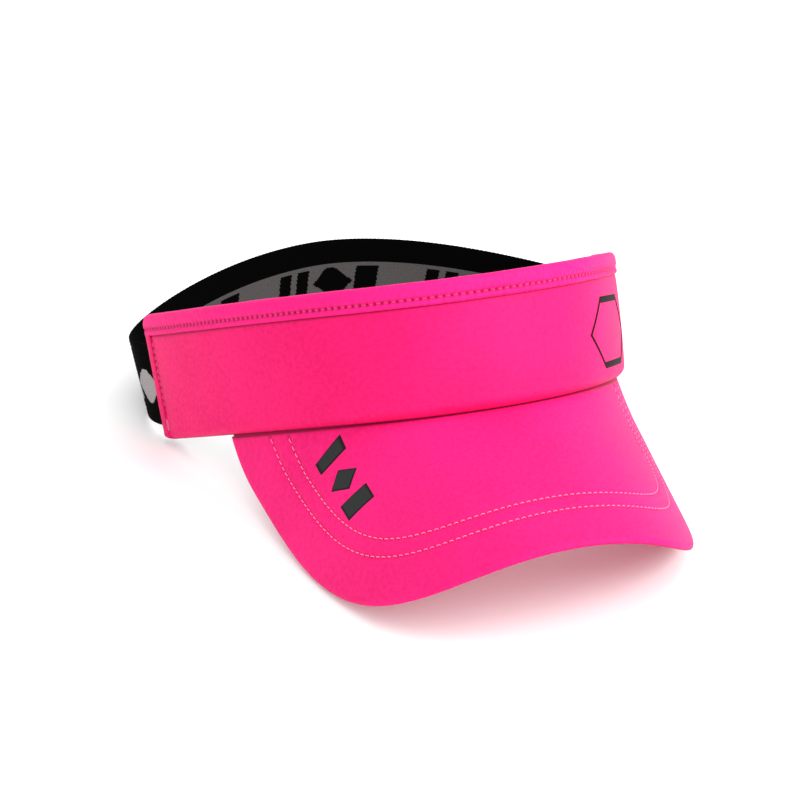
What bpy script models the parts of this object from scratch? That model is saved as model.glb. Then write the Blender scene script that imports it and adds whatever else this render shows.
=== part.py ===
"""Sports sun visor: a padded crown band, a curved bill and an elastic back band.

The visor is drawn in the wearer's frame and then tipped so that it stands on the two corners of
its bill and on its back band. The frame is +X to the wearer's left, -Y forwards, +Z up, and lengths
are in metres. In the wearer's frame z = 0 is the crown's lower edge at the sides.
"""

import math

import bmesh
import bpy
import numpy as np
from mathutils import Matrix, Vector

MM = 0.001

# The ring, seen from above: a front and a rear half superellipse that meet at the sides.
HALF_WIDTH = 87.0 * MM
FRONT_DEPTH = 133.0 * MM
REAR_DEPTH = 53.0 * MM
FRONT_WIDTH_POWER = 2.18
FRONT_DEPTH_POWER = 1.49
REAR_WIDTH_POWER = 1.84
REAR_DEPTH_POWER = 1.71

# The crown band.
CROWN_END_ANGLE = math.radians(76.2)
CROWN_HEIGHT_FRONT = 40.6 * MM
CROWN_HEIGHT_GAIN = 9.2 * MM
CROWN_LEAN = 0.045
EDGE_LIFT = 0.9 * MM
EDGE_DROP = 2.4 * MM
ROLL_RADIUS = 3.4 * MM
ROLL_ANGLE = math.radians(76)
CORNER_RADIUS = 4.0 * MM

# Layers of the crown, as depths in from its outer face.
GAP = 0.3 * MM
PANEL_THICKNESS = 0.8 * MM
FOAM_DEPTH = 1.1 * MM
FOAM_THICKNESS = 2.0 * MM
TAPE_DEPTH = 3.6 * MM
TAPE_THICKNESS = 0.6 * MM
TAPE_TOP = 11.0 * MM
SWEATBAND_DEPTH = 4.5 * MM
SWEATBAND_THICKNESS = 1.4 * MM
SWEATBAND_TOP = 32.0 * MM
BINDING_PROUD = 1.0 * MM
BINDING_THICKNESS = 0.7 * MM
BINDING_HEIGHT = 7.4 * MM
BINDING_INNER_DEPTH = 4.1 * MM
HEM_WIDTH = 5.0 * MM
HEM_RETURN = 7.0 * MM

# The elastic back band.
BAND_WIDTH = 29.0 * MM
BAND_THICKNESS = 1.2 * MM
BAND_DEPTH = 2.2 * MM
BAND_START_HEIGHT = 4.4 * MM
BAND_SLOPE = 0.1
BAND_REAR_RISE = 25.7 * MM
BAND_LEAN = 0.10
BAND_TUCK = 13.0 * MM
BAND_EASE = 16.0 * MM

# The bill: straight lines run forwards and down from the crown, over one arched section.
BILL_PITCH = math.radians(35.3)
BILL_ROOT_LIFT = 0.9 * MM
BILL_SECTION_INSET = 5.4 * MM
BILL_ROOT_INSET = 4.0 * MM
BILL_ARCH_HALF = 71.5 * MM
BILL_TAPER = 1.6
BILL_HALF_WIDTH = 87.6 * MM
BILL_WIDEST_AT = 44.9 * MM
BILL_REACH = 86.1 * MM
BILL_WIDTH_POWER = 2.54
BILL_REACH_POWER = 2.98
BILL_SEAM_HALF = 83.0 * MM
SEAM_LIFT = -0.1 * MM
SEAM_SPREAD = 12.0 * MM
TAPE_FOOT = 0.4 * MM
SWEATBAND_LIFT = 1.0 * MM
COVER_THICKNESS = 0.6 * MM
BOARD_THICKNESS = 1.0 * MM
BOARD_INSET = 3.2 * MM
RIM_WIDTH = 2.4 * MM
ROW_INSETS = (15.0 * MM, 21.0 * MM)
ROW_CORNER = 5.0 * MM

# Threads and heat-transfer films.
THREAD_RADIUS = 0.2 * MM
FILM_THICKNESS = 0.2 * MM
FRONT_EMBLEM_AT = (67.5 * MM, 16.5 * MM)
FRONT_EMBLEM_SIZE = (46.0 * MM, 23.0 * MM)
FRONT_EMBLEM_STROKE = 1.2 * MM
BILL_EMBLEM_START = (-55.5 * MM, 93.6 * MM)
BILL_EMBLEM_STEP = (0.0 * MM, 11.0 * MM)
BILL_EMBLEM_SIZE = (9.4 * MM, 11.6 * MM)

PINK = (0.98, 0.02, 0.22, 1.0)
PINK_SHADE = (0.80, 0.015, 0.17, 1.0)
BLACK = (0.012, 0.012, 0.013, 1.0)
CHARCOAL = (0.035, 0.038, 0.038, 1.0)
THREAD_PINK = (1.0, 0.32, 0.42, 1.0)
THREAD_BEIGE = (0.75, 0.42, 0.36, 1.0)
FOAM_WHITE = (0.75, 0.75, 0.72, 1.0)
BOARD_WHITE = (0.70, 0.72, 0.74, 1.0)


def clear_scene():
    for obj in list(bpy.data.objects):
        bpy.data.objects.remove(obj, do_unlink=True)


def signed_power(value, exponent):
    return math.copysign(abs(value) ** exponent, value)


def smooth(value):
    """Ease from 0 to 1 with level ends."""
    value = min(max(value, 0.0), 1.0)
    return value * value * (3.0 - 2.0 * value)


# ---- the ring -------------------------------------------------------------------------------

def ring_point(angle):
    """Plan point of the ring. Angle 0 is the centre front and grows towards the wearer's left."""
    cosine, sine = math.cos(angle), math.sin(angle)
    front = cosine >= 0.0
    depth = FRONT_DEPTH if front else REAR_DEPTH
    width_power = FRONT_WIDTH_POWER if front else REAR_WIDTH_POWER
    depth_power = FRONT_DEPTH_POWER if front else REAR_DEPTH_POWER
    x = HALF_WIDTH * signed_power(sine, 2.0 / width_power)
    y = -depth * signed_power(cosine, 2.0 / depth_power)
    return x, y


def ring_normal(angle):
    """Outward direction of the ring in plan."""
    step = 0.002
    x0, y0 = ring_point(angle - step)
    x1, y1 = ring_point(angle + step)
    length = math.hypot(x1 - x0, y1 - y0)
    return (y1 - y0) / length, -(x1 - x0) / length


def length_table(samples=1440):
    """Distance round the ring from the centre front, for evenly spaced angles up to the rear."""
    angles = np.linspace(0.0, math.pi, samples + 1)
    points = np.array([ring_point(angle) for angle in angles])
    steps = np.hypot(*np.diff(points, axis=0).T)
    return angles, np.concatenate([[0.0], np.cumsum(steps)])


RING_ANGLES, RING_LENGTHS = length_table()
CROWN_HALF_LENGTH = float(np.interp(CROWN_END_ANGLE, RING_ANGLES, RING_LENGTHS))
RING_HALF_LENGTH = float(RING_LENGTHS[-1])
CROWN_END_Y = ring_point(CROWN_END_ANGLE)[1]


def ring_angle(distance):
    """Angle of the point at a signed distance round the ring from the centre front."""
    angle = float(np.interp(abs(distance), RING_LENGTHS, RING_ANGLES))
    return math.copysign(angle, distance)


def lower_edge(y):
    """Height of the crown's lower edge, which dips a little towards the front."""
    part = y / FRONT_DEPTH
    return EDGE_LIFT * part ** 2 - EDGE_DROP * part ** 4


def crown_height(distance):
    return CROWN_HEIGHT_FRONT + CROWN_HEIGHT_GAIN * (1.0 - math.cos(ring_angle(distance))) / 2.0


def crown_point(distance, height, depth):
    """Point of the crown at a distance round the ring, a height over its lower edge, a depth in."""
    angle = ring_angle(distance)
    x, y = ring_point(angle)
    nx, ny = ring_normal(angle)
    out = CROWN_LEAN * (height - crown_height(distance) / 2.0) - depth
    return Vector((x + nx * out, y + ny * out, lower_edge(y) + height))


def band_point(distance, height, depth):
    """Point of the elastic. It leaves the crown between its layers and eases out to the ring."""
    angle = ring_angle(distance)
    x, y = ring_point(angle)
    nx, ny = ring_normal(angle)
    free = smooth((abs(distance) - CROWN_HALF_LENGTH) / BAND_EASE)
    back = max((y - CROWN_END_Y) / (REAR_DEPTH - CROWN_END_Y), 0.0)
    base = BAND_START_HEIGHT + lower_edge(CROWN_END_Y) + BAND_REAR_RISE * back ** 2
    base += BAND_SLOPE * max(y - CROWN_END_Y, 0.0)
    crown_out = CROWN_LEAN * (base + height - lower_edge(y) - crown_height(distance) / 2.0)
    free_out = BAND_LEAN * (height - BAND_WIDTH / 2.0)
    out = (crown_out - BAND_DEPTH) * (1.0 - free) + free_out * free - depth
    return Vector((x + nx * out, y + ny * out, base + height))


# ---- the bill -------------------------------------------------------------------------------

def section_table(samples=520):
    """The bill's cross-section square to its straight lines: x, rise and unrolled width.

    The section is the crown's front outline, taken a little inside, seen along those lines. Past
    the arch's half width it runs on straight.
    """
    width, depth = HALF_WIDTH - BILL_SECTION_INSET, FRONT_DEPTH - BILL_SECTION_INSET
    x = np.linspace(0.0, 1.5 * HALF_WIDTH, samples + 1)
    held = np.minimum(x, BILL_ARCH_HALF)
    y = -depth * (1.0 - (held / width) ** FRONT_WIDTH_POWER) ** (1.0 / FRONT_DEPTH_POWER)
    z = np.array([lower_edge(value) for value in y]) + BILL_ROOT_LIFT
    rise = -math.sin(BILL_PITCH) * y + math.cos(BILL_PITCH) * z
    last = int(np.searchsorted(x, BILL_ARCH_HALF)) - 1
    slope = (rise[last] - rise[last - 1]) / (x[last] - x[last - 1])
    rise = np.where(x > x[last], rise[last] + slope * (x - x[last]), rise)
    widths = np.concatenate([[0.0], np.cumsum(np.hypot(np.diff(x), np.diff(rise)))])
    along = -math.cos(BILL_PITCH) * y - math.sin(BILL_PITCH) * z
    return x, rise, widths, float(np.interp(BILL_ARCH_HALF, x, along))


SECTION_X, SECTION_RISE, SECTION_WIDTH, BILL_START = section_table()


def ruled_point(width, along, height):
    """Point of the bill's ruled surface: across, along, and height over its top face."""
    x = math.copysign(float(np.interp(abs(width), SECTION_WIDTH, SECTION_X)), width)
    rise = float(np.interp(abs(width), SECTION_WIDTH, SECTION_RISE))
    slope = (float(np.interp(abs(width) + MM, SECTION_WIDTH, SECTION_RISE))
             - float(np.interp(abs(width) - MM, SECTION_WIDTH, SECTION_RISE))) / (2.0 * MM)
    if abs(width) < MM:
        slope = 0.0
    taper = 1.0 - BILL_TAPER * (along - BILL_START)
    lift = height * math.sqrt(max(1.0 - slope * slope, 0.0))
    side = -height * slope * math.copysign(1.0, width)
    sine, cosine = math.sin(BILL_PITCH), math.cos(BILL_PITCH)
    up = rise + lift
    return Vector((x * taper + side, -cosine * along - sine * up, -sine * along + cosine * up))


def ring_gauge(x, y, inset):
    """Below 1 inside the ring's front outline taken at an inset, and above 1 outside it."""
    across = abs(x) / (HALF_WIDTH - inset)
    forward = abs(min(y, 0.0)) / (FRONT_DEPTH - inset)
    return across ** FRONT_WIDTH_POWER + forward ** FRONT_DEPTH_POWER


def bill_root(width, inset=BILL_ROOT_INSET):
    """Distance along the pattern at which the bill passes under the crown at an inset."""
    low, high = BILL_START - 40.0 * MM, BILL_START + 110.0 * MM
    for _ in range(40):
        middle = (low + high) / 2.0
        point = ruled_point(width, middle, 0.0)
        if ring_gauge(point.x, point.y, inset) < 1.0:
            low = middle
        else:
            high = middle
    return (low + high) / 2.0


def root_table(samples=60):
    """The bill's root on its pattern, its rise there to the crown's edge, and the rise's reach."""
    widths = np.linspace(0.0, BILL_HALF_WIDTH, samples + 1)
    roots = np.array([bill_root(width) for width in widths])
    points = [ruled_point(width, root, 0.0) for width, root in zip(widths, roots)]
    rises = np.array([lower_edge(point.y) + SEAM_LIFT - point.z for point in points])
    reaches = SEAM_SPREAD * np.hypot(1.0, np.gradient(roots, widths))
    return widths, roots, rises, reaches


ROOT_WIDTHS, ROOT_ALONGS, ROOT_RISES, ROOT_REACHES = root_table()


def bill_point(width, along, height):
    """Point of the bill, whose ruled surface sweeps up to the crown's edge along its root."""
    root, rise, reach = (float(np.interp(abs(width), ROOT_WIDTHS, values))
                         for values in (ROOT_ALONGS, ROOT_RISES, ROOT_REACHES))
    away = min(max((along - root) / reach, 0.0), 1.0)
    return ruled_point(width, along, height) + Vector((0.0, 0.0, rise * (1.0 - away) ** 2))


def outline_at(angle):
    """Point of the bill's flat outline, a superellipse, from an angle in its own centre."""
    cosine, sine = math.cos(angle), math.sin(angle)
    across = BILL_HALF_WIDTH * signed_power(cosine, 2.0 / BILL_WIDTH_POWER)
    along = BILL_START + BILL_WIDEST_AT + BILL_REACH * signed_power(sine, 2.0 / BILL_REACH_POWER)
    return np.array((across, along))


def inset_outline(inset, samples=720):
    """The bill's flat outline moved inwards, from one root end to the other, by equal steps."""
    angles = np.linspace(math.pi + 0.75, -0.75, samples + 1)
    points = np.array([outline_at(angle) for angle in angles])
    slopes = np.gradient(points, axis=0)
    inward = np.stack([slopes[:, 1], -slopes[:, 0]], axis=1)
    inward /= np.linalg.norm(inward, axis=1)[:, None]
    moved = points + inward * inset
    spread = np.linalg.norm(moved[:, None, :] - points[None, :, :], axis=2).min(axis=1)
    moved = moved[spread >= 0.998 * inset]
    beyond = [along > bill_root(across) for across, along in moved]
    first = beyond.index(True)
    last = len(beyond) - 1 - beyond[::-1].index(True)
    return moved[first:last + 1]


def soften(points, reach, steps=400):
    """Round a curve's sharp turns by averaging over a reach to both sides, keeping its ends."""
    even = np.array([along_curve(points, step / steps) for step in range(steps + 1)])
    stride = np.hypot(*(even[1] - even[0]))
    window = max(int(reach / stride), 1)
    result = even.copy()
    for index in range(steps + 1):
        side = min(window, index, steps - index)
        result[index] = even[index - side:index + side + 1].mean(axis=0)
    return result


def along_curve(points, fraction):
    """Point at a fraction of a curve's length."""
    lengths = np.concatenate([[0.0], np.cumsum(np.hypot(*np.diff(points, axis=0).T))])
    place = fraction * lengths[-1]
    return [float(np.interp(place, lengths, points[:, axis])) for axis in range(2)]


# ---- making objects -------------------------------------------------------------------------

def make_material(name, color, roughness, metallic=0.0):
    material = bpy.data.materials.new(name)
    material.use_nodes = True
    shader = material.node_tree.nodes["Principled BSDF"]
    shader.inputs["Base Color"].default_value = color
    shader.inputs["Roughness"].default_value = roughness
    shader.inputs["Metallic"].default_value = metallic
    material.diffuse_color = color
    return material


def add_part(name, data, color, roughness, parts):
    """One named sub-part, with its own material, in the object's collection."""
    obj = bpy.data.objects.new(name, data)
    data.materials.append(make_material(name, color, roughness))
    parts["collection"].objects.link(obj)
    obj.parent = parts["frame"]
    return obj


def grid_mesh(name, columns, rows, place, closed=False):
    """A grid of faces whose points are placed from their column and row numbers."""
    bm = bmesh.new()
    bmesh.ops.create_grid(bm, x_segments=columns, y_segments=rows, size=0.5)
    for vert in bm.verts:
        column = round((vert.co.x + 0.5) * columns)
        row = round((vert.co.y + 0.5) * rows)
        vert.co = place(column, row)
    if closed:
        bmesh.ops.remove_doubles(bm, verts=bm.verts[:], dist=0.05 * MM)
    for face in bm.faces:
        face.smooth = True
    mesh = bpy.data.meshes.new(name)
    bm.to_mesh(mesh)
    bm.free()
    return mesh


def thicken(obj, thickness, offset=-1.0):
    """Give an open surface its thickness. Offset -1 grows it against its normals."""
    solidify = obj.modifiers.new("thickness", 'SOLIDIFY')
    solidify.thickness = thickness
    solidify.offset = offset
    solidify.use_even_offset = True
    solidify.use_quality_normals = True
    return solidify


def add_thread(name, points, color, parts):
    """One continuous sewing thread along the given points."""
    curve = bpy.data.curves.new(name, 'CURVE')
    curve.dimensions = '3D'
    curve.bevel_depth = THREAD_RADIUS
    curve.bevel_resolution = 1
    curve.use_fill_caps = True
    spline = curve.splines.new('POLY')
    spline.points.add(len(points) - 1)
    for slot, point in zip(spline.points, points):
        slot.co = (*point, 1.0)
    return add_part(name, curve, color, 0.6, parts)


# ---- the crown ------------------------------------------------------------------------------

def end_corner(distance):
    """How far the rounded lower corner lifts the crown's edge near its ends."""
    past = abs(distance) - (CROWN_HALF_LENGTH - CORNER_RADIUS)
    if past <= 0.0:
        return 0.0
    past = min(past, CORNER_RADIUS)
    return CORNER_RADIUS - math.sqrt(CORNER_RADIUS ** 2 - past ** 2)


def add_outer_panel(parts):
    """The outer fabric: a tall wall whose lower edge rolls under, towards the bill's seam."""
    columns, wall_rows, roll_rows = 48, 4, 5
    half = CROWN_HALF_LENGTH - HEM_WIDTH - GAP
    top_gap = BINDING_HEIGHT - 5.0 * MM

    def place(column, row):
        distance = half * (2.0 * column / columns - 1.0)
        if row >= roll_rows:
            part = (row - roll_rows) / wall_rows
            top = crown_height(distance) - top_gap
            return crown_point(distance, ROLL_RADIUS + (top - ROLL_RADIUS) * part, 0.0)
        turn = ROLL_ANGLE * (1.0 - row / roll_rows)
        depth = ROLL_RADIUS * (1.0 - math.cos(turn))
        return crown_point(distance, ROLL_RADIUS * (1.0 - math.sin(turn)), depth)

    mesh = grid_mesh("crown_outer_panel", columns, wall_rows + roll_rows, place)
    thicken(add_part("crown_outer_panel", mesh, PINK, 0.55, parts), PANEL_THICKNESS)


def seam_half_length():
    """Distance round the ring to which the bill's seam runs."""
    distances = np.linspace(0.0, CROWN_HALF_LENGTH, 240)
    across = [crown_point(distance, 0.0, BILL_ROOT_INSET).x for distance in distances]
    end = bill_point(BILL_SEAM_HALF, bill_root(BILL_SEAM_HALF), 0.0)
    return float(np.interp(end.x, across, distances))


def add_layer(name, half, low, high, depth, thickness, look, parts, columns=40, rows=3):
    """A plain upright layer inside the crown. Low and high are functions of distance."""
    def place(column, row):
        distance = half * (2.0 * column / columns - 1.0)
        bottom, top = low(distance), high(distance)
        return crown_point(distance, bottom + (top - bottom) * row / rows, depth)

    thicken(add_part(name, grid_mesh(name, columns, rows, place), *look, parts), thickness)


def add_crown_layers(parts):
    """The foam, the bill's seam tape and the sweatband, each a little shorter than the crown."""
    foam_half = CROWN_HALF_LENGTH - BAND_TUCK - 2.0 * MM
    add_layer("crown_interlining", foam_half, lambda distance: ROLL_RADIUS,
              lambda distance: crown_height(distance) - 2.6 * MM, FOAM_DEPTH, FOAM_THICKNESS,
              (FOAM_WHITE, 0.9), parts)
    add_layer("bill_seam_tape", seam_half_length(), lambda distance: TAPE_FOOT,
              lambda distance: TAPE_TOP, TAPE_DEPTH, TAPE_THICKNESS, (PINK_SHADE, 0.7), parts,
              columns=32, rows=1)
    add_layer("sweatband", CROWN_HALF_LENGTH - 1.5 * MM, lambda distance: SWEATBAND_LIFT,
              lambda distance: SWEATBAND_TOP, SWEATBAND_DEPTH, SWEATBAND_THICKNESS,
              (CHARCOAL, 0.95), parts, columns=44)


def add_top_binding(parts):
    """A strip folded over the crown's top: an outer leg, a rounded fold and an inner leg."""
    columns, fold_rows = 48, 6
    width = BINDING_PROUD + BINDING_INNER_DEPTH
    fold_height = 2.6 * MM

    def place(column, row):
        distance = CROWN_HALF_LENGTH * (2.0 * column / columns - 1.0)
        corner = end_corner(distance) * 0.8
        top = crown_height(distance) - corner
        if row == 0:
            return crown_point(distance, crown_height(distance) - BINDING_HEIGHT, -BINDING_PROUD)
        if row == fold_rows + 2:
            return crown_point(distance, crown_height(distance) - BINDING_HEIGHT,
                               BINDING_INNER_DEPTH)
        turn = math.pi * (row - 1) / fold_rows
        depth = -BINDING_PROUD + width * (1.0 - math.cos(turn)) / 2.0
        return crown_point(distance, top - fold_height * (1.0 - math.sin(turn)), depth)

    mesh = grid_mesh("top_binding", columns, fold_rows + 2, place)
    thicken(add_part("top_binding", mesh, PINK, 0.55, parts), BINDING_THICKNESS)


def add_end_hem(side, parts):
    """The folded strip round one end of the crown. Side is 1 on the wearer's left, else -1."""
    name = "end_hem_left" if side > 0 else "end_hem_right"
    fold_steps, rows = 4, 7
    columns = fold_steps + 3
    fold_radius = PANEL_THICKNESS + GAP / 2.0
    edge = CROWN_HALF_LENGTH - fold_radius

    def across(column):
        """Distance round the ring and depth of the fold's outer face, from its front edge."""
        if column <= 1:
            return CROWN_HALF_LENGTH - HEM_WIDTH + (edge - CROWN_HALF_LENGTH + HEM_WIDTH) * column, 0.0
        if column <= fold_steps + 1:
            turn = math.pi * (column - 1) / fold_steps
            return edge + fold_radius * math.sin(turn), fold_radius * (1.0 - math.cos(turn))
        back = (column - fold_steps - 1) / (columns - fold_steps - 1)
        return edge - (HEM_WIDTH + HEM_RETURN) * back, 2.0 * fold_radius

    def place(column, row):
        distance, depth = across(column if side > 0 else columns - column)
        low = end_corner(distance) + 3.0 * MM * smooth(depth / fold_radius)
        high = crown_height(distance) - BINDING_HEIGHT + 2.2 * MM
        high -= 3.0 * MM * smooth(depth / fold_radius - 1.0)
        return crown_point(side * distance, low + (high - low) * row / rows, depth)

    thicken(add_part(name, grid_mesh(name, columns, rows, place), PINK, 0.55, parts),
            PANEL_THICKNESS)


def add_back_band(parts):
    """The elastic, one strip from inside one end of the crown round the back to the other."""
    columns, rows = 56, 3
    start = CROWN_HALF_LENGTH - BAND_TUCK
    span = 2.0 * (RING_HALF_LENGTH - start)

    def place(column, row):
        distance = start + span * column / columns
        if distance > RING_HALF_LENGTH:
            distance -= 2.0 * RING_HALF_LENGTH
        return band_point(distance, BAND_WIDTH * row / rows, 0.0)

    mesh = grid_mesh("elastic_band", columns, rows, place)
    band = add_part("elastic_band", mesh, BLACK, 0.8, parts)
    band.parent = parts["band_slide"]
    thicken(band, BAND_THICKNESS)


# ---- the bill's pieces ----------------------------------------------------------------------

def bill_sheet(name, edge_inset, height, thickness, rim_drop, look, parts, facing=1.0):
    """One layer of the bill, from its root to its outline.

    Height is that of its upper face over the bill's top face. A positive rim drop turns the rim
    down, a negative one turns it up, and zero leaves it square. Facing is the side that
    the thickness is built away from.
    """
    columns, flat_rows, rim_rows = 38, 7, (3 if rim_drop else 0)
    turned = RIM_WIDTH if rim_drop else 0.0
    side_room = 0.018
    curves = [inset_outline(edge_inset + turned)]
    for row in range(1, rim_rows + 1):
        turn = row / rim_rows * math.pi / 2.0
        curves.append(inset_outline(edge_inset + turned * (1.0 - math.sin(turn))))
    rows = flat_rows + rim_rows
    root_half = abs(along_curve(curves[0], 0.0)[0])

    def place(column, row):
        part = column / columns
        fraction = side_room + (1.0 - 2.0 * side_room) * part
        if row > flat_rows:
            turn = (row - flat_rows) / rim_rows * math.pi / 2.0
            across, along = along_curve(curves[row - flat_rows], fraction)
            return bill_point(across, along, height - rim_drop * (1.0 - math.cos(turn)))
        root_across = root_half * (2.0 * part - 1.0)
        root_along = bill_root(root_across)
        edge_across, edge_along = along_curve(curves[0], fraction)
        share = row / flat_rows
        return bill_point(root_across + (edge_across - root_across) * share,
                          root_along + (edge_along - root_along) * share, height)

    mesh = grid_mesh(name, columns, rows, place)
    mesh.flip_normals()
    thicken(add_part(name, mesh, *look, parts), thickness, -facing)


def add_bill(parts):
    """Top cover, board and under cover. The covers turn towards each other at the rim."""
    board_top = -COVER_THICKNESS - GAP
    under_top = board_top - BOARD_THICKNESS - GAP
    under_face = under_top - COVER_THICKNESS
    rim_drop = -(under_face) / 2.0 - COVER_THICKNESS - GAP / 2.0
    bill_sheet("bill_top_cover", 0.0, 0.0, COVER_THICKNESS, rim_drop, (PINK, 0.55), parts)
    bill_sheet("bill_board", BOARD_INSET, board_top, BOARD_THICKNESS, 0.0, (BOARD_WHITE, 0.5),
               parts)
    bill_sheet("bill_under_cover", 0.0, under_face, COVER_THICKNESS, -rim_drop,
               (PINK_SHADE, 0.6), parts, facing=-1.0)


def add_bill_rows(parts):
    """Two rows of topstitching round the bill, each one thread that starts at the crown."""
    count = 44
    for name, inset in zip(("bill_stitch_outer", "bill_stitch_inner"), ROW_INSETS):
        curve = soften(inset_outline(inset), ROW_CORNER)
        points = []
        for step in range(count + 1):
            fraction = 0.03 + 0.94 * step / count
            points.append(bill_point(*along_curve(curve, fraction), GAP + THREAD_RADIUS))
        add_thread(name, points, THREAD_PINK, parts)


# ---- the crown's threads --------------------------------------------------------------------

def add_crown_rows(parts):
    """Rows along the binding, at both ends of the elastic and along the sweatband's foot."""
    lift = GAP + THREAD_RADIUS
    drop = 5.2 * MM
    half = CROWN_HALF_LENGTH - 2.0 * MM
    steps = 44
    row = []
    for step in range(steps + 1):
        distance = half * (2.0 * step / steps - 1.0)
        row.append(crown_point(distance, crown_height(distance) - drop, -BINDING_PROUD - lift))
    add_thread("top_binding_stitch", row, THREAD_PINK, parts)

    row = []
    half = CROWN_HALF_LENGTH - 4.0 * MM
    depth = SWEATBAND_DEPTH + SWEATBAND_THICKNESS + lift
    for step in range(steps + 1):
        distance = half * (2.0 * step / steps - 1.0)
        row.append(crown_point(distance, SWEATBAND_LIFT + 3.4 * MM, depth))
    add_thread("sweatband_stitch", row, THREAD_BEIGE, parts)

    distance = CROWN_HALF_LENGTH - HEM_WIDTH - 1.1 * MM
    top = crown_height(distance) - BINDING_HEIGHT - 0.6 * MM
    for side, name in ((1, "left"), (-1, "right")):
        points = [crown_point(side * distance, height, -lift)
                  for height in np.linspace(9.4 * MM, top, 10)]
        add_thread("end_stitch_" + name, points, THREAD_BEIGE, parts)
        add_bartack("bartack_" + name, side * distance, parts)


def add_bartack(name, distance, parts):
    """The short dense stitch that ends the row, as a low rounded bar."""
    length, width, thick = 5.6 * MM, 1.4 * MM, 0.5 * MM
    low = crown_point(distance, 3.2 * MM, -GAP - thick / 2.0)
    high = crown_point(distance, 3.2 * MM + length, -GAP - thick / 2.0)
    nx, ny = ring_normal(ring_angle(distance))
    upright = (high - low).normalized()
    out = Vector((nx, ny, 0.0))
    out = (out - upright * out.dot(upright)).normalized()
    across = upright.cross(out)
    bm = bmesh.new()
    bmesh.ops.create_cube(bm, size=1.0)
    size = Matrix.Diagonal((width, thick, length, 1.0))
    turn = Matrix((across, out, upright)).transposed().to_4x4()
    centre = Matrix.Translation((low + high) / 2.0)
    bmesh.ops.transform(bm, matrix=centre @ turn @ size, verts=bm.verts[:])
    bmesh.ops.recalc_face_normals(bm, faces=bm.faces[:])
    mesh = bpy.data.meshes.new(name)
    bm.to_mesh(mesh)
    bm.free()
    bar = add_part(name, mesh, THREAD_BEIGE, 0.6, parts)
    rounding = bar.modifiers.new("rounding", 'BEVEL')
    rounding.width = 0.18 * MM
    rounding.segments = 2


# ---- the films ------------------------------------------------------------------------------

def add_front_emblem(parts):
    """An open hexagon of film on the wearer's left front, wider than it is tall."""
    per_side = 4
    centre, height = FRONT_EMBLEM_AT
    half_w, half_h = FRONT_EMBLEM_SIZE[0] / 2.0, FRONT_EMBLEM_SIZE[1] / 2.0
    shoulder = 0.5
    corners = [(half_w, 0.0), (half_w * shoulder, half_h), (-half_w * shoulder, half_h),
               (-half_w, 0.0), (-half_w * shoulder, -half_h), (half_w * shoulder, -half_h)]
    columns = per_side * len(corners)
    inner_scale = 1.0 - 2.0 * FRONT_EMBLEM_STROKE / FRONT_EMBLEM_SIZE[1]

    def place(column, row):
        corner, step = divmod(column % columns, per_side)
        a = Vector(corners[corner])
        b = Vector(corners[(corner + 1) % len(corners)])
        flat = a.lerp(b, step / per_side)
        flat *= 1.0 if row == 0 else inner_scale
        return crown_point(centre + flat.x, height + flat.y, -GAP)

    mesh = grid_mesh("front_emblem", columns, 1, place, closed=True)
    thicken(add_part("front_emblem", mesh, BLACK, 0.4, parts), FILM_THICKNESS, 1.0)


def add_bill_emblem(name, number, corners, parts):
    """One small film on the bill, drawn in its own square. Corners run round from its start.

    The first value of a corner runs forwards along the bill and the second across it.
    """
    cells = 4
    centre = Vector(BILL_EMBLEM_START) + Vector(BILL_EMBLEM_STEP) * number
    half_length, half_width = BILL_EMBLEM_SIZE[0] / 2.0, BILL_EMBLEM_SIZE[1] / 2.0
    a, b, c, d = [Vector(value) for value in corners]

    def place(column, row):
        u, v = column / cells, row / cells
        local = a * (1 - u) * (1 - v) + b * u * (1 - v) + c * u * v + d * (1 - u) * v
        return bill_point(centre.x - local.y * half_width, centre.y + local.x * half_length, GAP)

    mesh = grid_mesh(name, cells, cells, place)
    mesh.flip_normals()
    thicken(add_part(name, mesh, CHARCOAL, 0.4, parts), FILM_THICKNESS, 1.0)


def add_bill_emblems(parts):
    """A bar, a diamond and a block in a slanting line on the wearer's right of the bill."""
    bar = ((-0.35, -1.0), (0.35, -1.0), (0.35, 1.0), (-0.35, 1.0))
    diamond = ((0.0, -1.0), (0.85, 0.0), (0.0, 1.0), (-0.85, 0.0))
    block = ((-0.6, -1.0), (0.6, -1.0), (0.6, 1.0), (-0.6, 1.0))
    add_bill_emblem("bill_emblem_bar", 0, bar, parts)
    add_bill_emblem("bill_emblem_diamond", 1, diamond, parts)
    add_bill_emblem("bill_emblem_block", 2, block, parts)


# ---- standing the visor on its bill and back band ------------------------------------------

def world_points(names):
    """The evaluated points of some objects in the wearer's frame."""
    graph = bpy.context.evaluated_depsgraph_get()
    points = []
    for name in names:
        shape = bpy.data.objects[name].evaluated_get(graph)
        mesh = shape.to_mesh()
        points += [shape.matrix_world @ vert.co for vert in mesh.vertices]
        shape.to_mesh_clear()
    return np.array(points)


def tip(points, angle):
    """Heights of the points once the visor's front is tipped up by an angle."""
    return points[:, 2] * math.cos(angle) - points[:, 1] * math.sin(angle)


def stand_visor(parts):
    """Tip the visor until bill and band touch the same floor, and centre it over the origin."""
    bpy.context.view_layer.update()
    bill = world_points(["bill_under_cover"])
    band = world_points(["elastic_band"])
    low, high = 0.0, math.radians(45)
    for _ in range(50):
        middle = (low + high) / 2.0
        if tip(bill, middle).min() < tip(band, middle).min():
            low = middle
        else:
            high = middle
    angle = (low + high) / 2.0
    parts["frame"].rotation_euler = (-angle, 0.0, 0.0)
    bpy.context.view_layer.update()
    names = [obj.name for obj in parts["collection"].objects if obj.type != 'EMPTY']
    points = world_points(names)
    lowest, highest = points.min(axis=0), points.max(axis=0)
    parts["frame"].location = (0.0, -(lowest[1] + highest[1]) / 2.0, -lowest[2])
    bpy.context.view_layer.update()


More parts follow.
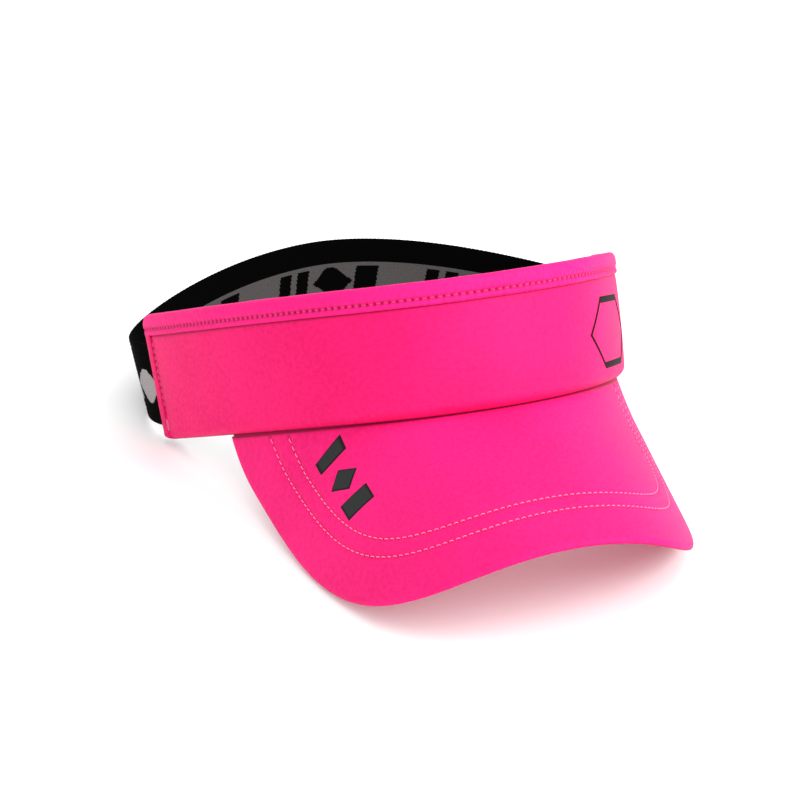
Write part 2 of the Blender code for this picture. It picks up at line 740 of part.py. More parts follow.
def add_frames():
    """The wearer's frame and, where the band leaves the crown, the frame of its stretch."""
    collection = bpy.data.collections.new("sun_visor")
    bpy.context.scene.collection.children.link(collection)
    frame = bpy.data.objects.new("wearer_frame", None)
    slide = bpy.data.objects.new("band_slide", None)
    for obj in (frame, slide):
        collection.objects.link(obj)
    slide.parent = frame
    return {"collection": collection, "frame": frame, "band_slide": slide}


def main():
    clear_scene()
    parts = add_frames()
    add_outer_panel(parts)
    add_crown_layers(parts)
    add_top_binding(parts)
    for side in (1, -1):
        add_end_hem(side, parts)
    add_back_band(parts)
    add_bill(parts)
    add_bill_rows(parts)
    add_crown_rows(parts)
    add_front_emblem(parts)
    add_bill_emblems(parts)
    stand_visor(parts)


main()
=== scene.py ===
import math

import bpy
import numpy as np
from mathutils import Matrix, Vector, kdtree


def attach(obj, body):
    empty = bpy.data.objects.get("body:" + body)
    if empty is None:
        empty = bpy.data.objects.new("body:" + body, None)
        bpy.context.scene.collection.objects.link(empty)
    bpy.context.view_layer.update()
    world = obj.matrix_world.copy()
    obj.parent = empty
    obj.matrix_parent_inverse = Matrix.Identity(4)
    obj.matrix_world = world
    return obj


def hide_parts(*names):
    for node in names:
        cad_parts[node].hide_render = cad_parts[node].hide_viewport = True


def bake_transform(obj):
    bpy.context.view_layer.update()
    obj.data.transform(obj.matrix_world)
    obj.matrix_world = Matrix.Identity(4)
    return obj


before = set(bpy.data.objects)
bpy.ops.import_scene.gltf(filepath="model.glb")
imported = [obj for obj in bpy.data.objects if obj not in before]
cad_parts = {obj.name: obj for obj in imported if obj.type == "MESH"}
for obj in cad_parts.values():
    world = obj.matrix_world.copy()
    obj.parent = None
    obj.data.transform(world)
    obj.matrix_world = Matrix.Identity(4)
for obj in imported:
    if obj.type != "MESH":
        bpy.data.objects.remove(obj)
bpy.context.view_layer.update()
print("frame loaded:", len(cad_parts), "nodes")

mm = 0.001
crownBody, bandBody = "crown_and_bill", "back_band"

# how the visor stands: drawn level on the wearer's head, then tipped onto its bill and back band
stand = {"tilt": math.radians(-23.823121), "place": (0.0, 53.0187 * mm, -6.7745 * mm)}
standMatrix = Matrix.Translation(stand["place"]) @ Matrix.Rotation(stand["tilt"], 4, "X")
standArray = np.array(standMatrix)

# the ring round the head, seen from above: two half superellipses that meet at the sides
ring = {
    "halfWidth": 87.0 * mm,
    "frontDepth": 133.0 * mm,
    "rearDepth": 53.0 * mm,
    "frontPowers": (2.18, 1.49),
    "rearPowers": (1.84, 1.71),
    "crownEnd": math.radians(76.2),
    "heightFront": 40.6 * mm,
    "heightGain": 9.2 * mm,
    "lean": 0.045,
    "edgeLift": 0.9 * mm,
    "edgeDrop": 2.4 * mm,
}


def ease(value):
    value = np.clip(value, 0.0, 1.0)
    return value * value * (3.0 - 2.0 * value)


def hump(value, width):
    return np.exp(-(value / width) ** 2)


def signedPower(value, exponent):
    return np.sign(value) * np.abs(value) ** exponent


def ringPoint(angle):
    cosine, sine = np.cos(angle), np.sin(angle)
    front = cosine >= 0.0
    depth = np.where(front, ring["frontDepth"], ring["rearDepth"])
    widthPower = np.where(front, ring["frontPowers"][0], ring["rearPowers"][0])
    depthPower = np.where(front, ring["frontPowers"][1], ring["rearPowers"][1])
    x = ring["halfWidth"] * signedPower(sine, 2.0 / widthPower)
    return x, -depth * signedPower(cosine, 2.0 / depthPower)


def ringNormal(angle, step=0.002):
    x0, y0 = ringPoint(angle - step)
    x1, y1 = ringPoint(angle + step)
    length = np.hypot(x1 - x0, y1 - y0)
    return (y1 - y0) / length, -(x1 - x0) / length


ringAngles = np.linspace(0.0, math.pi, 2881)
ringSteps = np.hypot(*np.diff(np.array(ringPoint(ringAngles)), axis=1))
ringLengths = np.concatenate([[0.0], np.cumsum(ringSteps)])
crownHalf = float(np.interp(ring["crownEnd"], ringAngles, ringLengths))
ringHalf = float(ringLengths[-1])
crownEndY = float(ringPoint(ring["crownEnd"])[1])


def ringAngle(distance):
    return np.sign(distance) * np.interp(np.abs(distance), ringLengths, ringAngles)


def lowerEdge(y):
    part = y / ring["frontDepth"]
    return ring["edgeLift"] * part ** 2 - ring["edgeDrop"] * part ** 4


def crownHeight(distance):
    return ring["heightFront"] + ring["heightGain"] * (1.0 - np.cos(ringAngle(distance))) / 2.0


# a place on the crown: distance round the ring, height over its lower edge, depth in from its face
def crownPoint(distance, height, depth):
    angle = ringAngle(distance)
    x, y = ringPoint(angle)
    nx, ny = ringNormal(angle)
    out = ring["lean"] * (height - crownHeight(distance) / 2.0) - depth
    return np.stack(np.broadcast_arrays(x + nx * out, y + ny * out, lowerEdge(y) + height), axis=-1)


def toWorld(points):
    return points @ standArray[:3, :3].T + standArray[:3, 3]


# gentle unevenness of sewn cloth: a few crossing waves, the same on each run
def unevenness(u, v, seed, length=0.045):
    waves = np.random.default_rng(seed)
    total = np.zeros(np.broadcast(u, v).shape)
    for _ in range(7):
        heading, phase = waves.uniform(0.0, math.pi), waves.uniform(0.0, 2.0 * math.pi)
        reach = length * waves.uniform(0.55, 1.6)
        travel = u * math.cos(heading) + v * math.sin(heading)
        total = total + np.sin(2.0 * math.pi * travel / reach + phase)
    return total / 7.0


def pair(first, second):
    return np.stack([first, second], axis=-1)


def lengthsAlong(points):
    return np.concatenate([[0.0], np.cumsum(np.linalg.norm(np.diff(points, axis=0), axis=1))])


# positions from start to end with closer ones inside a border at both ends
def spaced(start, end, count, border):
    fine = border * np.array([0.0, 0.18, 0.5])
    middle = np.linspace(start + border, end - border, count)
    return np.concatenate([start + fine, middle, (end - fine)[::-1]])


# a colour from its sRGB hex value, turned to linear
def hexColor(text):
    parts = [int(text[i:i + 2], 16) / 255.0 for i in (0, 2, 4)]
    linear = [p / 12.92 if p <= 0.04045 else ((p + 0.055) / 1.055) ** 2.4 for p in parts]
    return (*linear, 1.0)


# a node with its settings; a link comes from a socket, or from a node's first output
def addNode(tree, kind, settings=None, links=None):
    node = tree.nodes.new("ShaderNode" + kind)
    for key, value in (settings or {}).items():
        if isinstance(key, str) and hasattr(node, key):
            setattr(node, key, value)
        else:
            node.inputs[key].default_value = value
    for key, source in (links or {}).items():
        socket = source.outputs[0] if isinstance(source, bpy.types.Node) else source
        tree.links.new(socket, node.inputs[key])
    return node


def newMaterial(name, settings):
    material = bpy.data.materials.new(name)
    material.use_nodes = True
    tree = material.node_tree
    tree.nodes.clear()
    output = addNode(tree, "OutputMaterial")
    shader = addNode(tree, "BsdfPrincipled", settings)
    tree.links.new(shader.outputs["BSDF"], output.inputs["Surface"])
    return material, tree, shader


# a pattern's tone mixes two colours, and its height raises the surface and varies the roughness
def dress(tree, shader, dark, light, tone, height, strength, distance, rough=None, invert=False):
    mixed = addNode(tree, "Mix", {"data_type": "RGBA", "clamp_factor": True, 6: hexColor(dark),
                                  7: hexColor(light)}, {0: tone})
    tree.links.new(mixed.outputs[2], shader.inputs["Base Color"])
    bump = addNode(tree, "Bump", {"Strength": strength, "Distance": distance, "invert": invert},
                   {"Height": height})
    tree.links.new(bump.outputs[0], shader.inputs["Normal"])
    if rough:
        dull = addNode(tree, "MapRange", {"To Min": rough[0], "To Max": rough[1]}, {0: height})
        tree.links.new(dull.outputs[0], shader.inputs["Roughness"])
    return mixed


# metres that one repeat of a wave texture of scale 1 takes: along its axis, square to its diagonal
# bands, and along an axis that crosses them
axisWave, diagonalWave, crossedWave = 0.314, 0.444, 0.628


# woven polyester microfibre, piece dyed: dense fine twill, so soft light with a faint diagonal grain
# and a pale bloom where it turns away; real yarns are 0.2 mm apart, drawn at 0.6 mm so that they show
def wovenMicrofibre(name, colour, shade, twill=0.6 * mm, turn=0.0, sheen=0.02):
    material, tree, shader = newMaterial(name, {
        "Roughness": 0.7, "IOR": 1.5, "Specular IOR Level": 0.1, "Sheen Weight": sheen,
        "Sheen Roughness": 0.42, "Sheen Tint": hexColor("ff9cc8")})
    cloth = addNode(tree, "UVMap", {"uv_map": "cloth"})
    turned = addNode(tree, "Mapping", {"Rotation": (0.0, 0.0, turn)}, {0: cloth})
    grain = addNode(tree, "TexWave", {
        "wave_type": "BANDS", "bands_direction": "DIAGONAL", "Scale": diagonalWave / twill,
        "Distortion": 1.2, "Detail": 2.0, "Detail Scale": 0.6}, {0: turned})
    slub = addNode(tree, "TexNoise", {"Scale": 620.0, "Detail": 3.0}, {0: turned})
    cloud = addNode(tree, "TexNoise", {"Scale": 26.0, "Detail": 2.0}, {0: turned})
    tone = addNode(tree, "Math", {"operation": "MULTIPLY_ADD", 1: 0.55},
                   {0: grain.outputs["Fac"], 2: slub})
    mottled = addNode(tree, "Math", {"operation": "MULTIPLY_ADD", 1: 0.9}, {0: cloud, 2: tone})
    ramp = addNode(tree, "MapRange", {"From Min": 0.75, "From Max": 1.55}, {0: mottled})
    dyed = dress(tree, shader, shade, colour, ramp, tone, 0.5, 0.07 * mm, rough=(0.68, 0.54))
    # painted shade: a dark red mixed into the cloth's colour by the mark read here, in the needle holes
    # and along the creases
    holeAndShade = addNode(tree, "Attribute", {"attribute_name": "paintedShade"})
    withPaintedShade = addNode(tree, "Mix", {"data_type": "RGBA", "clamp_factor": True, 7: hexColor("6e001c")},
                      {0: holeAndShade.outputs["Fac"], 6: dyed.outputs[2]})
    tree.links.new(withPaintedShade.outputs[2], shader.inputs["Base Color"])
    return material


# brushed polyester knit: loops raised into a matt nap, with faint wales 0.9 mm apart
def brushedKnit(name, colour, nap):
    material, tree, shader = newMaterial(name, {
        "Roughness": 0.95, "IOR": 1.5, "Specular IOR Level": 0.2, "Sheen Weight": 0.35,
        "Sheen Roughness": 0.6, "Sheen Tint": hexColor("9aa0a4")})
    cloth = addNode(tree, "UVMap", {"uv_map": "cloth"})
    wale = addNode(tree, "TexWave", {
        "wave_type": "BANDS", "bands_direction": "X", "Scale": axisWave / (0.9 * mm),
        "Distortion": 3.0, "Detail": 2.0}, {0: cloth})
    fluff = addNode(tree, "TexNoise", {"Scale": 900.0, "Detail": 5.0, "Roughness": 0.7}, {0: cloth})
    height = addNode(tree, "Math", {"operation": "MULTIPLY_ADD", 1: 0.4},
                     {0: wale.outputs["Fac"], 2: fluff})
    ramp = addNode(tree, "MapRange", {"From Min": 0.35, "From Max": 1.0}, {0: height})
    dress(tree, shader, colour, nap, ramp, height, 0.6, 0.25 * mm)
    return material


# spun polyester sewing thread: two plies twisted together, a fine slanting shine along each stitch
def sewingThread(name, colour, shade):
    material, tree, shader = newMaterial(name, {
        "Roughness": 0.5, "IOR": 1.5, "Specular IOR Level": 0.4, "Sheen Weight": 0.15})
    cloth = addNode(tree, "UVMap", {"uv_map": "cloth"})
    twist = addNode(tree, "TexWave", {"wave_type": "BANDS", "bands_direction": "DIAGONAL",
                                      "Scale": crossedWave / (0.5 * mm)}, {0: cloth})
    dress(tree, shader, shade, colour, twist.outputs["Fac"], twist.outputs["Fac"], 0.5, 0.06 * mm)
    return material


# heat-transfer polyurethane film, pressed on: smooth and nearly matt, darker within a narrow rim at its
# edge, with the cloth's grain just showing through
def transferFilm(name, colour, edge, rim=0.6 * mm):
    material, tree, shader = newMaterial(name, {"Roughness": 0.65, "IOR": 1.5, "Specular IOR Level": 0.08})
    cloth = addNode(tree, "UVMap", {"uv_map": "cloth"})
    pressed = addNode(tree, "TexNoise", {"Scale": 1400.0, "Detail": 3.0}, {0: cloth})
    inward = addNode(tree, "Attribute", {"attribute_name": "inward"})
    fade = addNode(tree, "MapRange", {"From Min": 0.4 * rim, "From Max": rim}, {0: inward.outputs["Fac"]})
    dress(tree, shader, edge, colour, fade, pressed, 0.2, 0.05 * mm, rough=(0.54, 0.68))
    return material


jacquard = {
    "repeat": 60.0 * mm,     # one set of shapes and its gap
    "rib": 0.5 * mm,         # real ribs are 0.35 mm, drawn coarser so that the stepped edges show
    "lean": 0.32,
    # middle and width of each bar; middle, half width and half height of the diamond
    "bars": ((6.5 * mm, 9.0 * mm), (33.0 * mm, 5.0 * mm), (40.5 * mm, 5.0 * mm)),
    "diamond": (20.0 * mm, 8.2 * mm, 7.2 * mm),
}


# jacquard-woven elastic, polyester over rubber: matt ribs, black with a grey figure whose edges step
# from rib to rib; the figure is light on black outside and black on grey inside
def wovenElastic(name, ground, figure, fieldHalf, figureHalf, centre, swapped):
    material, tree, shader = newMaterial(name, {"Roughness": 0.9, "IOR": 1.5, "Specular IOR Level": 0.03})
    rib = jacquard["rib"]
    cloth = addNode(tree, "UVMap", {"uv_map": "cloth"})
    stepped = addNode(tree, "VectorMath", {"operation": "SNAP", 1: (rib, rib, 1.0)}, {0: cloth})
    parts = addNode(tree, "SeparateXYZ", {}, {0: stepped})
    u = addNode(tree, "Math", {"operation": "FLOORED_MODULO", 1: jacquard["repeat"]}, {0: parts})
    v = addNode(tree, "Math", {"operation": "SUBTRACT", 1: centre}, {0: parts.outputs[1]})
    up = addNode(tree, "Math", {"operation": "ABSOLUTE"}, {0: v})
    place, across, tall = jacquard["diamond"]
    away = addNode(tree, "Math", {"operation": "SUBTRACT", 1: place}, {0: u})
    away = addNode(tree, "Math", {"operation": "ABSOLUTE"}, {0: away})
    away = addNode(tree, "Math", {"operation": "DIVIDE", 1: across}, {0: away})
    away = addNode(tree, "Math", {"operation": "MULTIPLY_ADD", 1: 1.0 / tall}, {0: up, 2: away})
    shapes = addNode(tree, "Math", {"operation": "LESS_THAN", 1: 1.0}, {0: away})
    slanted = addNode(tree, "Math", {"operation": "MULTIPLY_ADD", 1: jacquard["lean"]}, {0: v, 2: u})
    for place, width in jacquard["bars"]:
        bar = addNode(tree, "Math", {"operation": "COMPARE", 1: place, 2: width / 2.0}, {0: slanted})
        shapes = addNode(tree, "Math", {"operation": "MAXIMUM"}, {0: bar, 1: shapes})
    inFigure = addNode(tree, "Math", {"operation": "LESS_THAN", 1: figureHalf}, {0: up})
    shown = addNode(tree, "Math", {"operation": "MULTIPLY"}, {0: shapes, 1: inFigure})
    if swapped:
        inField = addNode(tree, "Math", {"operation": "LESS_THAN", 1: fieldHalf}, {0: up})
        shown = addNode(tree, "Math", {"operation": "SUBTRACT", "use_clamp": True}, {0: inField, 1: shown})
    fleck = addNode(tree, "TexNoise", {"Scale": 1500.0, "Detail": 2.0}, {0: cloth})
    shade = addNode(tree, "MapRange", {"From Min": 0.3, "From Max": 0.7, "To Min": 0.78}, {0: fleck})
    lit = addNode(tree, "Math", {"operation": "MULTIPLY"}, {0: shown, 1: shade})
    ribs = addNode(tree, "TexWave", {"wave_type": "BANDS", "bands_direction": "X",
                                     "Scale": axisWave / (2.0 * rib)}, {0: cloth})
    rows = addNode(tree, "TexWave", {"wave_type": "BANDS", "bands_direction": "Y",
                                     "Scale": axisWave / rib, "Distortion": 0.6}, {0: cloth})
    woven = addNode(tree, "Math", {"operation": "MULTIPLY"},
                    {0: ribs.outputs["Fac"], 1: rows.outputs["Fac"]})
    dress(tree, shader, ground, figure, lit, woven, 0.5, 0.15 * mm)
    return material


# laminated polyurethane foam, cut sheet: open cells about 0.6 mm across, chalky white
def foamSheet():
    material, tree, shader = newMaterial("foamSheet", {
        "Roughness": 0.95, "IOR": 1.4, "Specular IOR Level": 0.15})
    place = addNode(tree, "TexCoord")
    cells = addNode(tree, "TexVoronoi", {"Scale": 1.0 / (0.6 * mm)}, {0: place.outputs["Object"]})
    dress(tree, shader, "f2f0ea", "c9c6bd", cells, cells, 0.6, 0.3 * mm, invert=True)
    return material


# high-density polyethylene, moulded board: waxy white with a fine moulded grain of 0.8 mm
def mouldedBoard():
    material, tree, shader = newMaterial("mouldedBoard", {
        "Roughness": 0.5, "IOR": 1.54, "Subsurface Weight": 0.1, "Subsurface Scale": 1.0 * mm})
    place = addNode(tree, "TexCoord")
    grain = addNode(tree, "TexNoise", {"Scale": 1.0 / (0.8 * mm), "Detail": 4.0},
                    {0: place.outputs["Object"]})
    dress(tree, shader, "d6dadd", "eceff0", grain, grain, 0.3, 0.1 * mm, rough=(0.42, 0.6))
    return material


materials = {
    "crown": wovenMicrofibre("crownMicrofibre", "ee1a6e", "ca0b56"),
    "bill": wovenMicrofibre("billMicrofibre", "f01e78", "ce0f5e", turn=0.7),
    "binding": wovenMicrofibre("bindingMicrofibre", "f52080", "d01066", turn=0.9, sheen=0.04),
    "hem": wovenMicrofibre("hemMicrofibre", "e21464", "cc0a54", turn=1.3),
    "lining": wovenMicrofibre("liningMicrofibre", "d81660", "c00c50", turn=0.4, sheen=0.02),
    "sweatband": brushedKnit("sweatbandKnit", "24272a", "3d4145"),
    "elasticOutside": wovenElastic("elasticOutside", "010101", "a49f9f", 5.9 * mm, 5.9 * mm,
                                   13.4 * mm, False),
    "elasticInside": wovenElastic("elasticInside", "010101", "4b4848", 7.3 * mm, 5.9 * mm,
                                  12.0 * mm, True),
    "pinkThread": sewingThread("pinkThread", "ff86b4", "f4619c"),
    "selfThread": sewingThread("selfThread", "ea3078", "c81a5c"),
    "beigeThread": sewingThread("beigeThread", "dd6a8a", "c24a70"),
    "darkThread": sewingThread("darkThread", "3a3d40", "1f2123"),
    "blackFilm": transferFilm("blackFilm", "050507", "030304"),
    "greyFilm": transferFilm("greyFilm", "2a2d2d", "141817"),
    "foam": foamSheet(),
    "board": mouldedBoard(),
}
print("materials made:", len(materials))


# turn a mesh's faces so that they point out
def flipInside(mesh):
    mesh.calc_loop_triangles()
    points = np.array([vertex.co for vertex in mesh.vertices])
    corners = np.array([triangle.vertices for triangle in mesh.loop_triangles])
    a, b, c = (points[corners[:, k]] for k in range(3))
    if np.einsum("ij,ij->i", a, np.cross(b, c)).sum() < 0.0:
        mesh.flip_normals()


# an object from points, faces, one cloth coordinate for each face corner, and each face's material
def makeObject(name, vertices, faces, cloth, looks, picks=None, marks=None):
    mesh = bpy.data.meshes.new(name)
    mesh.from_pydata(toWorld(vertices).tolist(), [], faces)
    mesh.shade_smooth()
    layer = mesh.uv_layers.new(name="cloth")
    layer.data.foreach_set("uv", cloth.astype(np.float32).ravel())
    for look in looks:
        mesh.materials.append(materials[look])
    if picks is not None:
        mesh.polygons.foreach_set("material_index", picks.astype(np.int32))
    for mark, values in (marks or {}).items():
        attribute = mesh.attributes.new(mark, "FLOAT", "POINT")
        attribute.data.foreach_set("value", values.astype(np.float32).ravel())
    mesh.validate()
    mesh.update()
    flipInside(mesh)
    obj = bpy.data.objects.new(name, mesh)
    bpy.context.scene.collection.objects.link(obj)
    return obj


# a closed sheet of cloth from its face and its back, both grids of the same size
def makeSheet(name, face, back, cloth, looks, marks=None, looped=False):
    columns, rows = face.shape[:2]
    count = columns * rows
    across = columns if looped else columns - 1
    i, j = np.meshgrid(np.arange(across), np.arange(rows - 1), indexing="ij")
    corners = [(i, j), (i + 1, j), (i + 1, j + 1), (i, j + 1)]
    index = np.stack([(a % columns) * rows + b for a, b in corners], axis=-1).reshape(-1, 4)
    around = []
    for k in range(across):
        here, after = k % columns * rows, (k + 1) % columns * rows
        around += [(here, after), (after + rows - 1, here + rows - 1)]
    if not looped:
        last = (columns - 1) * rows
        for k in range(rows - 1):
            around += [(k + 1, k), (last + k, last + k + 1)]
    around = np.array(around)
    rim = np.stack([around[:, 1], around[:, 0], around[:, 0] + count, around[:, 1] + count], axis=-1)
    faces = np.concatenate([index, index[:, ::-1] + count, rim])
    flat = np.concatenate([cloth, cloth[:1]]) if looped else cloth
    source = np.stack([a * rows + b for a, b in corners], axis=-1).reshape(-1, 4)
    flat = flat.reshape(-1, 2)[np.concatenate([source, source[:, ::-1], rim % count])]
    picks = np.repeat([0, len(looks) - 1, 0], [len(index), len(index), len(rim)])
    vertices = np.concatenate([face.reshape(-1, 3), back.reshape(-1, 3)])
    both = {mark: np.concatenate([value.ravel(), 0.0 * value.ravel()])
            for mark, value in (marks or {}).items()}
    return makeObject(name, vertices, faces.tolist(), flat.reshape(-1, 2), looks, picks, both)


# how full the cloth is near its edges, so that they are rounded
def fullness(u, v, thickness):
    toEdge = np.minimum(np.minimum(u - u.min(), u.max() - u), np.minimum(v - v.min(), v.max() - v))
    full = np.sqrt(1.0 - (1.0 - np.clip(toEdge / (thickness / 2.0), 0.0, 1.0)) ** 2)
    return np.maximum(full, 0.12)


# how far in from a sheet's outer face its two faces lie
def faceDepths(full, thickness):
    return thickness * (1.0 - full) / 2.0, thickness * (1.0 + full) / 2.0


# a smooth curve through a few points
def smoothCurve(points, count):
    points = np.array(points, float)
    ends = np.vstack([2 * points[0] - points[1], points, 2 * points[-1] - points[-2]])
    place = np.linspace(0.0, len(points) - 1.000001, count)
    first = place.astype(int)
    t = (place - first)[:, None]
    a, b, c, d = (ends[first + k] for k in range(4))
    curve = 0.5 * (2 * b + (c - a) * t + (2 * a - 5 * b + 4 * c - d) * t ** 2
                   + (3 * b - a - 3 * c + d) * t ** 3)
    steps = lengthsAlong(curve)
    even = np.linspace(0.0, steps[-1], count)
    return np.stack([np.interp(even, steps, curve[:, k]) for k in range(points.shape[1])], axis=1), even


# the left-hand normal of a flat curve
def curveNormal(curve):
    slope = np.gradient(curve, axis=0)
    slope /= np.linalg.norm(slope, axis=1)[:, None]
    return np.stack([-slope[:, 1], slope[:, 0]], axis=1)


# hang a piece on the crown's body, in place of its solid
def finish(obj, node):
    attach(obj, crownBody)
    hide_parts(node)


crown = {
    "rollRadius": 3.4 * mm,
    "cornerRadius": 4.0 * mm,
    "thickness": 0.8 * mm,
    "wall": 35.0 * mm,         # cloth from its top edge down to the start of the roll
    "endInset": 4.7 * mm,
    "swell": 0.55 * mm,        # how far the foam pushes the wall out between its seams
    "uneven": 0.16 * mm,
    "underBinding": 2.4 * mm,
    "tail": 0.1 * mm,
}
binding = {
    "height": 7.4 * mm,
    "thickness": 0.45 * mm,
    "row": 5.2 * mm,
    # height over the crown's top and depth in from its face, from the outer edge over to the inner
    "section": ((-7.4, -0.5), (-6.4, -0.72), (-5.2, -0.7), (-3.6, -0.72), (-2.0, -0.6), (-0.9, -0.2),
                (-0.25, 0.4), (0.0, 1.2), (0.0, 2.5), (-0.35, 3.7), (-1.3, 4.5), (-3.3, 5.0),
                (-5.2, 5.4), (-6.5, 5.9), (-7.6, 6.2)),
    "endGap": 0.8 * mm,
    "endRadius": 1.2 * mm,
    "middleDepth": 2.0 * mm,
    "valley": 0.32 * mm,
}
sewing = {
    "pitch": 2.3 * mm,
    "endRow": 6.1 * mm,        # the row at each end, from the crown's end
    "endRowFoot": 9.4 * mm,
    "radius": 0.17 * mm,
    "share": 0.66,
    "endTaper": 0.55,
    "holeAndShade": 0.5 * mm,
}


def endCorner(distance):
    past = np.clip(np.abs(distance) - (crownHalf - crown["cornerRadius"]), 0.0, crown["cornerRadius"])
    return crown["cornerRadius"] - np.sqrt(crown["cornerRadius"] ** 2 - past ** 2)


# distance to the nearest needle hole of a row that runs along one direction
def toHole(along, across):
    wrapped = (along + sewing["pitch"] / 2.0) % sewing["pitch"] - sewing["pitch"] / 2.0
    return np.hypot(wrapped, across)


def pucker(along, across, reach):
    return np.cos(2.0 * math.pi * along / sewing["pitch"] + across / (0.9 * mm)) * hump(across, reach)


# outward relief of the crown's wall: padding, pulled seams and puckers at the end rows
def wallRelief(distance, height):
    fromEnd = crownHalf - np.abs(distance)
    top = crownHeight(distance) - binding["height"]
    up = np.clip(height / top, 0.0, 1.0)
    free = ease((fromEnd - sewing["endRow"]) / (11.0 * mm))
    relief = crown["swell"] * np.sin(math.pi * up) ** 0.7 * free
    relief += crown["uneven"] * unevenness(distance, height, 5) * np.sin(math.pi * up)
    seams = hump(up, 0.25) + hump(up - 1.0, 0.2)
    relief += 0.07 * mm * unevenness(distance, 0.35 * height, 11, 0.013) * seams
    relief -= 0.12 * mm * hump(height - top, 1.3 * mm)
    sewn = ease((height - sewing["endRowFoot"] + 2.0 * mm) / (2.0 * mm))
    across = fromEnd - sewing["endRow"]
    relief -= 0.22 * mm * hump(across, 0.8 * mm) * (0.35 + 0.65 * sewn)
    relief += 0.10 * mm * pucker(height, across - 1.0 * mm, 1.7 * mm) * sewn
    # the needle holes' mask: it dents the cloth and also sets the painted shade in the holes
    holeAndShade = hump(toHole(height, across), sewing["holeAndShade"]) * sewn * (height < top)
    return relief - 0.45 * mm * holeAndShade, holeAndShade


# a place on the wall or on the roll below it, from the cloth's own length down from the top
def wallPoint(distance, down, depth, wallLength):
    radius = crown["rollRadius"]
    top = crownHeight(distance) - binding["height"] + crown["underBinding"]
    turn = np.clip((down - wallLength) / radius, 0.0, math.pi / 2.0)
    past = np.maximum(down - wallLength - radius * math.pi / 2.0, 0.0)
    straight = np.clip(down / wallLength, 0.0, 1.0)
    height = np.where(down < wallLength, top + (radius - top) * straight,
                      radius - (radius - depth) * np.sin(turn))
    inward = radius - (radius - depth) * np.cos(turn) + past
    swollen, holeAndShade = wallRelief(distance, height)
    return crownPoint(distance, height, inward - swollen * np.cos(turn)), holeAndShade


def makeCrownPanel():
    wallLength = crown["wall"]
    half = crownHalf - crown["endInset"]
    border = 9.0 * mm
    fine = np.arange(0.0, border, 0.22 * mm)
    inner = np.linspace(-half + border, half - border, 250)
    along = np.concatenate([-half + fine, inner, (half - fine)[::-1]])
    end = wallLength + crown["rollRadius"] * math.pi / 2.0 + crown["tail"]
    down = spaced(0.0, end, 104, crown["thickness"] / 2.0)
    u, v = np.meshgrid(along, down, indexing="ij")
    depths = faceDepths(fullness(u, v, crown["thickness"]), crown["thickness"])
    (face, holeAndShade), (back, _) = (wallPoint(u, v, depth, wallLength) for depth in depths)
    # painted shade in the needle holes and in the creases: under the roll where it meets the bill, and
    # below the binding's edge
    rolled = (v - wallLength) / (crown["rollRadius"] * math.pi / 2.0)
    covered = v - crown["underBinding"]
    holeAndShade = np.maximum(holeAndShade, 0.8 * ease((rolled - 0.6) / 0.3))
    holeAndShade = np.maximum(holeAndShade, 0.7 * hump(covered - 0.2 * mm, 0.5 * mm) * (covered > -2.0 * mm))
    panel = makeSheet("crownPanel", face, back, pair(u, -v), ["crown", "lining"], {"paintedShade": holeAndShade})
    finish(panel, "crown_outer_panel")
    print("crown panel made")


# the binding's section, its outward normals, the length along it and the two rows of sewing
def bindingSection(count=42):
    curve, length = smoothCurve(np.array(binding["section"]) * mm, count)
    outerRow = float(np.interp(-binding["row"], curve[:12, 0], length[:12]))
    innerRow = float(length[-1] - outerRow - 0.2 * mm)
    return curve, -curveNormal(curve), length, (outerRow, innerRow)


def makeBinding():
    curve, normal, length, rows = bindingSection()
    half = crownHalf - binding["endGap"]
    along = spaced(-half, half, int(2.0 * crownHalf / (0.3 * mm)), 0.35 * mm)
    u, v = np.meshgrid(along, length, indexing="ij")
    relief = 0.10 * mm * unevenness(u, v, 23, 0.02)
    paintedShade = np.zeros(u.shape)
    for row in rows:
        holeAndShade = hump(toHole(u, v - row), 1.2 * sewing["holeAndShade"])
        relief += 0.09 * mm * pucker(u, v - row, 1.5 * mm) - binding["valley"] * hump(v - row, 0.75 * mm)
        relief -= 0.35 * mm * holeAndShade
        # painted shade in the needle holes
        paintedShade = np.maximum(paintedShade, holeAndShade)
    ends = np.clip((np.abs(u) - (half - binding["endRadius"])) / binding["endRadius"], 0.0, 0.985)
    closing = np.sqrt(1.0 - ends ** 2)
    corner = 1.0 - 0.85 * endCorner(np.abs(u) + binding["endGap"]) / binding["height"]

    def surface(inset):
        height = curve[:, 0] + normal[:, 0] * (relief - inset)
        depth = curve[:, 1] + normal[:, 1] * (relief - inset)
        height = -binding["height"] + (height + binding["height"]) * corner
        depth = binding["middleDepth"] + (depth - binding["middleDepth"]) * closing
        return crownPoint(u, crownHeight(u) + height, depth)

    full = fullness(u, v, binding["thickness"])
    face, back = (surface(inset) for inset in faceDepths(full, binding["thickness"]))
    strip = makeSheet("topBinding", face, back, pair(u, v), ["binding", "lining"], {"paintedShade": paintedShade})
    finish(strip, "top_binding")
    print("binding made")


hem = {
    # distance in from the crown's end and depth in from its face, from the front edge round the end
    "section": ((5.6, -0.2), (5.0, -0.42), (3.2, -0.48), (1.4, -0.34), (0.35, 0.25), (0.0, 1.0),
                (0.5, 1.75), (2.2, 2.0), (6.0, 2.0), (11.0, 2.0)),
    "thickness": 0.45 * mm,
    "roll": 3.2 * mm,
    "rollShare": 0.13,         # how much of its rows go round the roll at its foot
    "insideFoot": 3.6 * mm,
    "height": 37.0 * mm,
}


